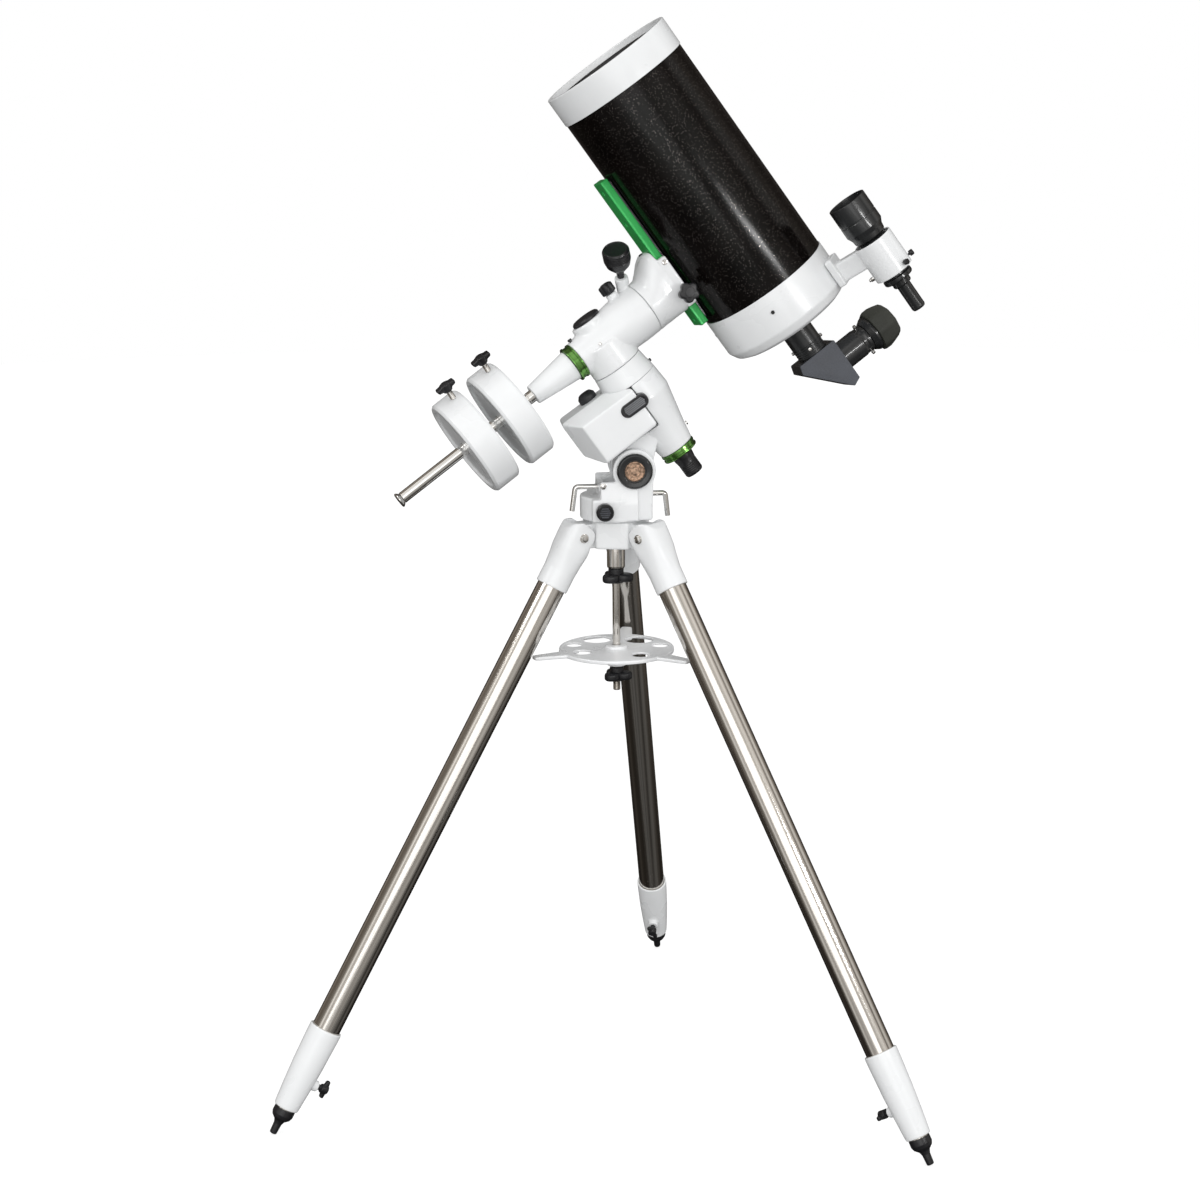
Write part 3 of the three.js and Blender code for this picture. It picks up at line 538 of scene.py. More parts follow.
def hub_lug(azimuth):
    corners = [(20, 883, 1), (62, 883, 16), (83, 890, 10), (83, 914, 14), (64, 921, 10), (20, 921, 1)]
    return moulded(turned_about("Z", azimuth), plate(corners, -LUG, LUG, 1.2))


def build_hub():
    corners = []
    for azimuth in sorted(LEG_AZIMUTHS.values()):
        for side in (-1, 1):
            angle = radians(azimuth)
            x, y = 44, side * (EAR + 0.5)
            corners.append((x * cos(angle) - y * sin(angle), x * sin(angle) + y * cos(angle), 5))
    solids = [prism(corners, 883, 925.7, 3.0)] + [hub_lug(a) for a in LEG_AZIMUTHS.values()]
    show("hub_casting", "tripod", "white_paint", TRIPOD, casting("hub", solids, [disc(6.4, 870, 940, 0.1)]),
        ["tripod_hub"])
    sleeve = [(0, 650), (5.0, 650, 0.4)] + ridges(9, 651, 1.8, (5.9, 0), (5.1, 0.9))
    sleeve += [(5.9, 668), (5.9, 846), (13.5, 846, 1), (14, 849, 0.5), (14, 882.4, 0.5), (5.9, 882.6),
        (5.9, 925.2), (0, 925.2)]
    show("rod_and_sleeve", "tripod", "polished_steel", TRIPOD, lathe(sleeve, 64), ["center_rod"])


def build_leg(side):
    where = leg_frame(side)
    body = f"leg_{side}"
    side_view = [(-26, -99), (-26, -28, 6), (-18, -8, 6), (-19, 4, 5), (-14, 15, 8), (2, 19.5, 7),
        (11, 20, 3), (22, 14, 4), (27.5, 3, 4), (27.5, -99)]
    solids = [loft([(-88.6, 0, 25, 25, 2), (-87.6, 0, 25.5, 25.5, 2), (-60, 0, 25.5, 25.5, 2),
        (-42, 0.3, 26, 26.6, 2.3), (-25, 0.6, 26.8, 27.7, 2.8), (-5, 0, 27.5, 28, 3.2),
        (30, 0, 27.5, 28, 3.4)])]
    cuts = [block(-60, 21.5, -LUG - 0.6, LUG + 0.6, -22, 60, 0.1, 0.1), disc(22.6, -100, -45, 0.1, 96)]
    show(f"cap_{side}", body, "white_paint", where, casting(f"cap_{side}", solids, cuts, 1.1, 5,
        [plate(side_view, -40, 40, 0.1)]), [f"leg_cap_{side}"])
    show(f"steel_tube_{side}", body, "polished_steel", where, pipe(20.75, 22.25, -910.6, -45.4, 128, 0.2),
        [f"leg_tube_{side}"])
    shell = lathe([(0, -988), (19.5, -988, 1.5), (20.4, -978), (22.2, -953), (24.4, -915), (25.4, -880),
        (25.9, -862), (25.9, -851, 1.2), (0, -851)], 96)
    boss = moulded(SCREW_PLACE @ ALONG_X, disc(8.5, -31, -10, 1.0, 48))
    seat = [disc(22.6, -911, -840, 0.1, 96), disc(16.1, -1000, -905, 0.1, 64)]
    show(f"clamp_{side}", body, "white_paint", where, casting(f"clamp_{side}", [shell, boss], seat, 1.1, 5),
        [f"leg_clamp_{side}"])
    stem = moulded(ALONG_X, disc(4.4, 31.4, 41, 0.5, 32))
    twist = turned_about("X", {"left": 0, "right": 80, "rear": 25}[side])
    winged = together(stem, wing_grip(37.5, 50, 14.5, 3.6))
    winged = moulded(SCREW_PLACE @ turned_about("Z", 180) @ twist, winged)
    show(f"thumb_screw_{side}", f"leg_{side}_screw", "black_plastic", where, winged, [f"leg_screw_{side}"])
    show(f"inner_tube_{side}", f"leg_{side}_lower", "polished_steel", where,
        pipe(14, 15.5, -990.6, -440, 96, 0.3), [f"leg_inner_tube_{side}"])
    foot = [(0, -1033), (5.6, -1033, 3.6), (6.4, -1016, 2), (8.5, -1010.5, 3), (14.6, -1005, 2),
        (16.9, -999.6, 1.4), (16.7, -989.6, 0.6), (0, -989.6)]
    show(f"foot_{side}", f"leg_{side}_lower", "black_plastic", where, lathe(foot, 64), [f"leg_foot_{side}"])
    for sign in (-1, 1):
        bolt = moulded(moved(0, sign * EAR, 0) @ turned_about("X", -90 * sign),
            together(disc(7.2, -0.4, 1.0, 0.3, 48), hex_head(10, 0.8, 4.6)))
        show(f"hinge_bolt_{side}_{'near' if sign > 0 else 'far'}", body, "chrome", where, bolt)
    screw = moulded(moved(0, 0, -80) @ turned_about("Z", 180) @ moved(25.4, 0, 0) @ ALONG_X,
        socket_screw(2.6, 1.6))
    show(f"cap_screw_{side}", body, "chrome", where, screw)


TRAY_HOLES = [(22, 62, 62), (22, 62, 127), (13, 70, 19), (13, 70, 170), (14, 60, 215), (14, 60, 316)]


def tray_mesh():
    arm = [(60, -17, 3), (100, -13, 8), (139, -8, 4), (139, 8, 4), (100, 13, 8), (60, 17, 3)]
    solids = [disc(90, 714.6, 717.8, 0.8, 128), lathe([(0, 690), (15, 690, 1), (17, 697, 2), (17, 722, 1.5),
        (0, 724, 1)], 64), pipe(85.4, 90, 712, 718, 128, 1.0)]
    solids += [moulded(turned_about("Z", a), prism(arm, 712.2, 717.8, 1.2)) for a in LEG_AZIMUTHS.values()]
    cuts = []
    for radius, reach, azimuth in TRAY_HOLES:
        place = turned_about("Z", azimuth) @ moved(reach, 0, 0)
        cuts.append(moulded(place, disc(radius, 690, 740, 0.1, 64)))
    cuts.append(disc(6.5, 680, 740, 0.1))
    return casting("tray", solids, cuts, 0.9, 3)


def build_centre():
    show("tray_casting", "tray", "tray_silver", TRIPOD, tray_mesh(), ["accessory_tray"])
    show("lock_knob", "mount_knob", "black_plastic", TRIPOD, knob_with_collar(27, 3, 822, 845, 6.5),
        ["mount_lock_knob"])
    show("tray_nut_knob", "tray_nut", "black_plastic", TRIPOD, knob_with_collar(24.5, 3, 665, 687, 6.5),
        ["tray_knob"])


# ---- mount head

PIVOT_X, PIVOT_Z = -25, 1005


def cheek(side):
    corners = [(-53, 952, 1), (30, 952, 1), (27, 976, 10)]
    for degrees in range(-32, 213, 8):
        angle = radians(degrees)
        corners.append((PIVOT_X + 33 * cos(angle), PIVOT_Z + 33 * sin(angle)))
    low, high = sorted((31 * side, 47 * side))
    return plate(corners, low, high, 1.5)


def build_azimuth():
    drum = lathe([(0, 926.4), (55, 926.4, 2.0), (55, 962, 3.0), (0, 962)], 128)
    apron = [(38, 929), (54.6, 929, 1), (54.6, 955, 12), (46.8, 988, 4), (38, 988)]
    far_apron = [(-y, z, *fillet) for y, z, *fillet in apron]
    solids = [drum, block(4, 40, -55, 55, 928, 962, 2.5, 3), cheek(1), cheek(-1),
        block(-53, 4, -47, 47, 928, 962, 2.5, 6), moulded(YZ_TO_X, prism(apron, -30, 27, 1.5)),
        moulded(YZ_TO_X, prism(far_apron, -30, 27, 1.5)), block(-50, -40, -32, 32, 957, 970, 1.5),
        block(18, 28, -32, 32, 957, 982, 1.5)]
    cuts = [moulded(moved(0, 0, 961.5) @ ALONG_X, disc(5.2, -60, -30, 0.1)),
        moulded(moved(0, 0, 974) @ ALONG_X, disc(5.2, 8, 70, 0.1)), pipe(54.2, 60, 933.5, 934.7, 128, 0.1)]
    show("azimuth_casting", "azimuth_head", "white_paint", HEAD, casting("azimuth", solids, cuts, 1.1, 5),
        ["azimuth_base"])
    for name, sign in (("near", 1), ("far", -1)):
        where = moved(22, 0, 945) @ turned_about("X", -90 * sign)
        rim = lathe([(0, 55.4), (12.4, 55.4, 1), (13.4, 58, 1), (13.4, 68.5, 1.6), (10.8, 71, 0.8),
            (9.6, 67.6), (0, 67.6)], 96)
        ribs = []
        for k in range(-2, 3):
            half = 8.4 - abs(k) * 1.5
            ribs.append(moulded(moved(0, k * 3.3, 0), block(-half, half, -0.9, 0.9, 67, 69.9, 0.3, 0.4)))
        show(f"azimuth_knob_{name}_grip", f"azimuth_screw_{name}", "black_plastic", HEAD,
            moulded(where, rim), [f"azimuth_knob_{name}"])
        show(f"azimuth_knob_{name}_ribs", f"azimuth_screw_{name}", "grey_plastic", HEAD,
            moulded(where, together(*ribs)))
    north = swept([(12, 0, 974), (62, 0, 974), (67.3, 0, 936.4)], 4.0)
    show("cranked_bolt_north", "altitude_screw_north", "chrome", HEAD, north, ["altitude_bolt_north"])
    south = swept([(-34, 0, 961.5), (-77, 0, 961.5), (-80.8, 0, 925.7)], 4.0)
    show("cranked_bolt_south", "altitude_screw_south", "chrome", HEAD, south, ["altitude_bolt_south"])
    build_badge()
    build_fork_bolt()


def build_badge():
    where = moved(PIVOT_X, 0, PIVOT_Z) @ ALONG_Y
    ring = lathe([(17.5, 47.4), (27.3, 47.4, 0.6), (27.3, 52.5, 2.2), (24.5, 56, 1.6), (17.6, 55, 1),
        (16.6, 52)], 128, closed=True)
    show("badge_ring", "azimuth_head", "black_metal", HEAD, moulded(where, ring), ["altitude_badge"])
    bezel = lathe([(23.6, 54.6), (26.6, 53.4, 0.6), (27.5, 51.6, 0.8), (27.5, 50.4), (26, 50.4),
        (23.6, 53)], 128, closed=True)
    show("badge_bezel", "azimuth_head", "chrome", HEAD, moulded(where, bezel))
    trim = pipe(15.5, 17.8, 49, 53.4, 128, 0.8)
    show("badge_trim", "azimuth_head", "black_metal", HEAD, moulded(where, trim))
    face = lathe([(0, 49), (15.7, 49), (15.7, 51.6, 0.6), (13.6, 52.8, 0.4), (12.8, 51.6, 0.3),
        (9, 51.6, 0.3), (8.2, 52.6, 0.4), (7.2, 52.6, 0.4), (6.4, 51.8, 0.3), (0, 53)], 96)
    show("badge_face", "azimuth_head", "badge_bronze", HEAD, moulded(where, face))


def build_fork_bolt():
    bolt = moulded(moved(23, 47, 982) @ ALONG_Y, together(disc(5.0, -1, 1.2, 0.3, 40),
        hex_head(7.5, 1.0, 4.2)))
    show("fork_bolt", "azimuth_head", "chrome", HEAD, bolt)


# ---- polar axis

COVER_LEFT, COVER_RIGHT, COVER_TOP, COVER_BOTTOM = 122, 3, -62, -143
COVER_BACK, COVER_FRONT = -30, 62


def housing_profile(grow=0.0):
    return [(28 + grow, -200), (33 + grow, -173), (40.5 + grow, -139), (47.5 + grow, -108),
        (46.5 + grow, -90), (45.5 + grow, -74.6)]


def build_polar():
    pivot = POLAR.inverted() @ (HEAD @ Vector((PIVOT_X, 0, PIVOT_Z)))
    profile = [(r, z, 14 if -150 < z < -80 else 0) for r, z in housing_profile()]
    shell = lathe([(0, -200)] + profile + [(0, -74.6)], 128)
    web = [(-20, -110, 4), (60, -110, 4), (pivot.x + 29, pivot.z + 6, 10), (pivot.x, pivot.z - 29, 10),
        (pivot.x - 24, pivot.z - 16, 8), (20, -172, 6)]
    eye = moulded(moved(pivot.x, 0, pivot.z) @ ALONG_Y, disc(29, -30, 30, 1.5, 96))
    pocket = block(2, 200, -31, 200, -149, -61, 0.1, 0.1)
    bore = disc(16, -220, -60, 0.1)
    show("housing_casting", "polar_housing", "white_paint", POLAR,
        casting("housing", [shell, plate(web, -30, 30, 2.0), eye], [bore, pocket], 1.2, 6), ["ra_housing"])
    show("cover_casting", "polar_housing", "white_paint", POLAR, cover_mesh(), ["motor_cover"])
    build_cover_parts()
    ring = lathe([(16, -212), (28.2, -212, 0.8), (28.8, -210.5, 0.4), (28.8, -208.6), (27.6, -208),
        (27.6, -204.6), (28.8, -204), (28.8, -201, 0.6), (28, -200.4, 0.3), (16, -200.4)], 128, closed=True)
    show("polar_ring", "polar_housing", "green_anodised", POLAR, ring, ["ra_ring"], look="green_ring")
    grip = [(0, -250), (13.2, -250, 1.4), (14.8, -247, 0.6)]
    grip += ridges(5, -245, 3, (14.9, 0), (14.2, 1.2), (15.0, 2.2))
    grip += [(14.6, -229), (16.4, -219, 2), (17, -212.4, 0.6), (0, -212.4)]
    show("polar_cap_grip", "polar_cap", "black_plastic", POLAR, lathe(grip, 72), ["polar_scope_cap"])


def cover_mesh():
    rim = [(COVER_RIGHT, COVER_BOTTOM, 5), (101, COVER_BOTTOM - 3, 8), (COVER_LEFT, COVER_BOTTOM + 20, 8),
        (COVER_LEFT, COVER_TOP, 6), (40, COVER_TOP, 8), (COVER_RIGHT, COVER_TOP - 14, 6)]
    slope = block(0, 80, -200, 200, -300, 100, 0.1, 0.1)
    left = moulded(moved(COVER_LEFT, 24, 0) @ turned_about("Z", 33), slope)
    over = block(-200, 200, -200, 200, 0, 80, 0.1, 0.1)
    top = moulded(moved(0, 24, COVER_TOP) @ turned_about("X", -23), over)
    inner = lathe([(0, -172)] + housing_profile(0.7)[1:] + [(46.2, -50), (0, -50)], 128)
    return casting("cover", [plate(rim, COVER_BACK, COVER_FRONT, 3.5)], [left, top, inner], 1.2, 9)


SLOT_X, SLOT_Z = 14.5, -99


def stadium(length, width, z=SLOT_Z, segments=14):
    """A long hole with round ends, on the join of cover and housing."""
    corners = []
    for centre, start in ((length / 2 - width / 2, -90), (-length / 2 + width / 2, 90)):
        for i in range(segments + 1):
            angle = radians(start + 180 * i / segments)
            corners.append((SLOT_X + centre + width / 2 * cos(angle), z + width / 2 * sin(angle)))
    return corners


def build_cover_parts():
    """The slotted plate at the join of cover and housing, and the dark cap behind the cover."""
    rim = casting("slot_rim", [plate(stadium(47, 21), 40, 64.2, 1.4)],
        [plate(stadium(39.5, 13.5), 62.2, 80, 0.1)], 0.5, 3)
    show("slot_rim", "polar_housing", "black_plastic", POLAR, rim)
    ribs = [plate(stadium(36 - abs(k) * 2.2, 1.9, SLOT_Z + k * 2.7, 6), 61, 63.6, 0.4) for k in range(-2, 3)]
    show("slot_ribs", "polar_housing", "grey_plastic", POLAR, together(*ribs), look="pale_grey")
    dome = lathe([(0, -64), (14.5, -64), (14.5, -54, 4), (10, -48.6, 4), (0, -47.6)], 64)
    show("motor_dome", "polar_housing", "black_plastic", POLAR, moulded(moved(66, -6, 0), dome))
    screw = moulded(turned_about("Z", 180) @ moved(33, 0, -179) @ ALONG_X, socket_screw(3.2, 2.4))
    show("housing_screw", "polar_housing", "chrome", POLAR, screw)


# ---- declination head

CLUTCH = moved(0, 0, 57) @ ALONG_X


def build_declination():
    head = lathe([(0, -74.2), (45.3, -74.2, 0.9), (44.4, -66), (43, -60), (41.2, -44, 0.9),
        (41, -43.2, 0.4), (0, -43.2)], 128)
    axle = disc(15, -194, -70, 0.5)
    show("ra_head_casting", "ra_axis", "white_paint", HOUR, together(head, axle), ["ra_head"])
    barrel = lathe([(0, -43.1), (28.5, -43.1, 0.8), (30.5, -30, 12), (36, 0, 20), (41, 40, 20),
        (42, 60, 10), (42, 85.6, 0.8), (0, 85.6)], 128)
    neck = moulded(ALONG_X, disc(41, -42.8, 0, 1.0, 128))
    front = moulded(ALONG_X, disc(25, 0, 39.6, 1.5, 96))
    clutch = moulded(CLUTCH, disc(9, 0, 49.7, 1.0, 64))
    worm = moulded(WORM @ ALONG_X, disc(10.5, 5, 53.7, 1.0, 64))
    cuts = [disc(16, -60, 120, 0.1), disc(44.5, 85.7, 150, 0.1, 96)]
    show("dec_casting", "ra_axis", "white_paint", DEC, casting("dec", [barrel, neck, front, clutch, worm],
        cuts, 1.2, 8), ["dec_housing"])
    window = lathe([(0, 39.8), (23, 39.8, 0.5), (23, 43.6, 1.6), (20.5, 46, 1.5), (0, 46.2)], 96)
    show("polar_window_cap", "ra_axis", "black_plastic", DEC, moulded(moved(0, 0, 3) @ ALONG_X, window))
    grip = moulded(CLUTCH, together(lobed(12, 5, 50.6, 66, 0.8, 2.4), disc(7, 64, 67, 1, 40)))
    show("clutch_grip", "dec_clutch", "black_plastic", DEC, grip, ["dec_clutch_knob"])
    bell = [(0, 54.4), (5.4, 54.4, 0.5), (6, 64, 3), (12, 71, 5), (18, 78, 5), (20.6, 87, 4)]
    bell += ridges(5, 89, 2.8, (21, 0), (20.3, 1.2), (21, 2.4))
    bell += [(21, 104, 2), (18.6, 108, 1.6), (16, 107, 1), (0, 106.6)]
    show("slow_motion_bell", "dec_worm", "black_plastic", DEC, moulded(WORM @ ALONG_X, lathe(bell, 96)),
        ["dec_slow_motion_knob"])
    ring = lathe([(16, -56.6), (28.8, -56.6, 0.6), (28.8, -54), (27.4, -53.2), (27.4, -47.4), (28.8, -46.6),
        (28.8, -43.6, 0.6), (16, -43.6)], 128, closed=True)
    show("dec_ring_band", "ra_axis", "green_anodised", DEC, ring, ["dec_ring"], look="green_ring")


def build_declination_screws():
    """Small set screws in the castings."""
    ring_screw = moulded(moved(28.6, 4, -37) @ ALONG_X, together(disc(2.2, 0, 3, 0.3, 24),
        disc(3.4, 2, 5.2, 0.7, 28)))
    show("dec_lock_screw", "ra_axis", "black_metal", DEC, ring_screw)
    seam_screw = moulded(turned_about("Z", 180) @ moved(43.6, -6, -67) @ ALONG_X, socket_screw(2.6, 3.0))
    show("ra_lock_screw", "ra_axis", "black_metal", HOUR, seam_screw)
    mark = moulded(moved(4, 33.4, -8) @ turned_about("X", -98) @ turned_about("Z", 20),
        socket_screw(2.6, 2.4))
    show("dec_plug", "ra_axis", "chrome", DEC, mark)


WEIGHT_THICKNESS = 45


def build_counterweights():
    cone = lathe([(0, -131), (15.7, -131, 1.2), (24.6, -57.2, 1.0), (0, -57.2)], 128)
    show("cone_casting", "dec_axis", "white_paint", DEC, cone, ["shaft_cone"])
    bar = lathe([(0, -384.6), (8.4, -384.6, 0.4), (9, -383.6, 0.3), (9, -141), (9.6, -140.4, 0.3),
        (9.6, -131.4), (0, -131.4)], 96)
    show("weight_bar", "dec_axis", "chrome", DEC, bar, ["counterweight_shaft"])
    end = lathe([(0, -391), (11.6, -391, 0.8), (12.3, -389, 0.6), (9.4, -385.4, 0.4), (0, -385.2)], 64)
    show("bar_end", "dec_axis", "chrome", DEC, end, ["toe_saver"])
    for place, top in (("inner", -154), ("outer", -221)):
        bottom = top - WEIGHT_THICKNESS
        weight = lathe([(10.5, bottom + 3), (67, bottom + 3, 1.6), (70.5, bottom, 1.6), (77.5, bottom, 2.6),
            (80.7, bottom + 4, 2.4), (80.7, top - 4, 2.4), (77.5, top, 2.6), (70.5, top, 1.6),
            (67, top - 3, 1.6), (10.5, top - 3)], 160, closed=True)
        show(f"weight_{place}_body", f"weight_{place}", "white_paint", DEC, weight,
            [f"counterweight_{place}"])
        where = weight_frame(place)
        thread = [(0, 81.2), (3.6, 81.2)] + ridges(9, 82.4, 1.7, (4.4, 0), (3.5, 0.8))
        screw = moulded(ALONG_X, lathe(thread + [(3.6, 98), (0, 98)], 40))
        show(f"weight_{place}_thread", f"weight_{place}_screw", "chrome", where, screw)
        show(f"weight_{place}_grip", f"weight_{place}_screw", "black_plastic", where,
            wing_grip(97.2, 111, 16, 5.8), [f"weight_screw_{place}"])


def build_saddle():
    flare = loft([(86.2, 0, 41.6, 41.6, 2), (87.2, 0, 42, 42, 2), (98, 1, 42.4, 41.6, 2.1),
        (107, 4.5, 46, 40.5, 2.3), (118, 10, 51, 39, 2.7), (128, 13, 54, 38.2, 3.2),
        (136.6, 13, 54, 38, 3.4), (138, 13, 53, 37, 3.4)])
    solids = [flare, block(-36, 50, -38, -22.4, 136, 151.4, 2, 4),
        block(-36, 50, 22.4, 38, 136, 151.4, 2, 4), disc(15, -56.6, 90, 0.5)]
    show("saddle_casting", "dec_axis", "white_paint", DEC, casting("saddle", solids, [], 1.1, 5), ["saddle"])
    stem = moulded(ALONG_Y, disc(5, 38.4, 52, 0.5, 40))
    grip = moulded(ALONG_Y, together(lobed(16, 5, 50, 65, 0.78, 2.6), disc(8, 64, 66, 0.8, 40)))
    show("saddle_grip", "saddle_clamp", "black_plastic", DEC, moulded(moved(-14, 0, 143.5),
        together(stem, grip)), ["saddle_clamp_knob"])
    screw = moulded(moved(42, 37.6, 144.5) @ ALONG_Y, socket_screw(4.2, 2.2))
    show("saddle_screw", "dec_axis", "chrome", DEC, screw)
    stop = moulded(moved(63.5, 0, 130) @ ALONG_X, socket_screw(3.4, 5.0))
    show("saddle_stop", "dec_axis", "black_metal", DEC, stop)


# ---- optical tube


def build_dovetail():
    outline = [(-22, 138.5, 1), (22, 138.5, 1), (22, 141.5, 0.8), (19.4, 152, 0.8), (-19.4, 152, 0.8),
        (-22, 141.5, 0.8)]
    bar = moulded(YZ_TO_X, prism(outline, -73, 193, 1.2))
    holes = [moulded(moved(x, 0, 0), disc(4.2, 130, 142.5, 0.3, 32)) for x in (-62, 118, 176)]
    show("green_bar", "telescope", "green_anodised", DEC, casting("dovetail", [bar], holes, 0.8, 2),
        ["dovetail_bar"])
    tube = moulded(moved(0, 0, TUBE_AXIS) @ ALONG_X, disc(105.3, -300, 400, 0.1, 192))
    rib = casting("rib", [block(-67, 187, -14, 14, 150.5, 166, 0.5, 2)], [tube], 0.9, 1)
    show("bar_rib", "telescope", "black_metal", DEC, rib)


def build_barrel():
    shell = pipe(102.1, 104.6, -95.6, 300, 192, 0.3)
    show("barrel", "telescope", "tube_black", TUBE, shell, ["optical_tube"])
    ring = lathe([(105, 287.5), (106.2, 287.5, 0.4), (106.2, 332.6, 0.8), (105.2, 333.8, 0.6),
        (98, 333.8, 0.8), (96, 315.8, 1), (96, 300.4), (105, 300.4)], 192, closed=True)
    show("mouth_ring", "telescope", "white_paint", TUBE, ring, ["front_ring"])
    retainer = lathe([(88, 320.6), (95.7, 320.6), (95.7, 324.6, 0.8), (93, 325.4, 0.6), (88, 322, 0.6)],
        160, closed=True)
    show("lens_retainer", "telescope", "black_metal", TUBE, retainer)
    lens = lathe([(0, 300), (40, 301.5, 60), (95.4, 310), (95.4, 320, 0.6), (40, 312, 60), (0, 310.5)], 160)
    show("meniscus", "telescope", "lens_glass", TUBE, lens, ["corrector_lens"])
    mirror = lathe([(21, -118), (92, -118, 0.8), (92, -96, 0.8), (23, -104, 0.6), (22, 60), (20, 60)], 160,
        closed=True)
    show("primary", "mirror", "mirror_coating", TUBE, mirror, ["primary_mirror"])
    bore = [(19, -160), (88, -160, 6), (99, -155, 9), (106.2, -142, 10), (106.2, -82, 0.8), (105, -82),
        (105, -96), (98, -96, 2), (98, -151, 2), (19, -151)]
    show("cell_casting", "telescope", "white_paint", TUBE, lathe(bore, 192, closed=True), ["rear_cell"])
    for i, place in spaced((68, 158, 248, 338), 106.0, -110):
        show(f"cell_screw_{i}", "telescope", "black_metal", TUBE, moulded(place, socket_screw(3.0, 1.6)))


def build_rear_optics():
    back = [(0, -217.6), (24.5, -217.6, 0.8)]
    back += ridges(4, -214, 4, (24.5, 0), (23.7, 0.8), (23.7, 2.0), (24.5, 2.8))
    back += [(24.5, -168, 0.6), (27, -166, 0.8), (27, -160.4, 0.4), (0, -160.4)]
    show("back_tube", "telescope", "black_metal", TUBE, lathe(back, 128), ["visual_back"])
    focus = [(0, 0), (14, 0, 1.6), (15.6, 2.5, 0.8)]
    focus += ridges(8, 3, 2.8, (17, 0), (16.3, 0.9), (17, 1.8))
    focus += [(16.6, 26.4, 0.8), (8, 28, 0.6), (8, 33.6), (0, 33.6)]
    show("focus_grip", "focuser", "black_plastic", DEC, moulded(moved(-194, -52, 274.8) @ ALONG_X,
        lathe(focus, 96)), ["focus_knob"])
    build_diagonal()
    build_eyepiece()


DIAGONAL = [(-218, 293.8, 2), (-218, 225.8, 2), (-232, 221.8, 2), (-296, 279.8, 2), (-290, 293.8, 2)]
EYEPIECE = moved(-252, 0, 0)
SEAT_HEIGHT = 84  # of the eyepiece above the middle of the tube


def small_screw(stem, start, end):
    """A thin stem with a wider round head, along +Z."""
    return together(disc(1.6, 0, stem, 0.2, 20), disc(2.8, start, end, 0.6, 28))


def build_diagonal():
    body = plate(DIAGONAL, -21.5, 21.5, 1.2)
    holder = moulded(EYEPIECE, lathe([(16.3, 292.8), (23, 292.8), (23, 330, 0.6), (22, 333, 0.5),
        (22, 337, 0.5), (23, 340, 0.6), (23, 344.6, 0.8), (16.3, 344.6, 0.4)], 96, closed=True))
    show("diagonal_body", "diagonal", "black_metal", DEC, together(body, holder), ["star_diagonal"])
    for i, sign in enumerate((-1, 1)):
        low, high = sorted((21.4 * sign, 24 * sign))
        show(f"diagonal_plate_{i}", "diagonal", "grey_plastic", DEC, plate(DIAGONAL, low, high, 0.7))
    for i, place in spaced((20, 140, 260), 22, 336):
        show(f"set_screw_{i}", "diagonal", "chrome", DEC, moulded(EYEPIECE @ place, small_screw(5, 4, 8.4)))
    for i, place in spaced((75, 195, 315), 24, -205):
        show(f"back_screw_{i}", "telescope", "chrome", TUBE, moulded(place, small_screw(4, 3.4, 7.4)))


def build_eyepiece():
    seat = TUBE_AXIS + SEAT_HEIGHT
    barrel = lathe([(0, seat - 38), (15.9, seat - 38, 0.6), (15.9, seat + 0.4), (24, seat + 0.4, 0.8),
        (29, seat + 8, 2), (29, seat + 12, 0.6), (0, seat + 12)], 96)
    show("eyepiece_barrel", "eyepiece_unit", "black_metal", DEC, moulded(EYEPIECE, barrel), ["eyepiece"])
    base = seat + 12.35
    cup = eight_sided([(29, 0), (34, 1), (35.3, 5), (35.5, 14), (33.6, 22), (30.2, 33), (26, 36.6),
        (22, 38), (20, 36), (20, 16)], base)
    show("eyecup_skin", "eyepiece_unit", "eyecup_rubber", DEC, moulded(EYEPIECE, cup), ["eyecup"], 30)


EYE_HOLE = 21  # within this radius the cup is round


def eight_sided(levels, base, sides=8, per_side=8):
    """A rubber cup with eight soft sides, open at the top."""
    rings = []
    count = sides * per_side
    for radius, height in levels:
        ring = []
        for i in range(count):
            angle = 2 * pi * (i + 0.5) / count
            within = (angle % (2 * pi / sides)) - pi / sides
            flat = cos(pi / sides) / cos(within)
            r = radius * flat if radius > EYE_HOLE else radius
            ring.append((r * cos(angle), r * sin(angle), base + height))
        rings.append(ring)
    return skin(rings)


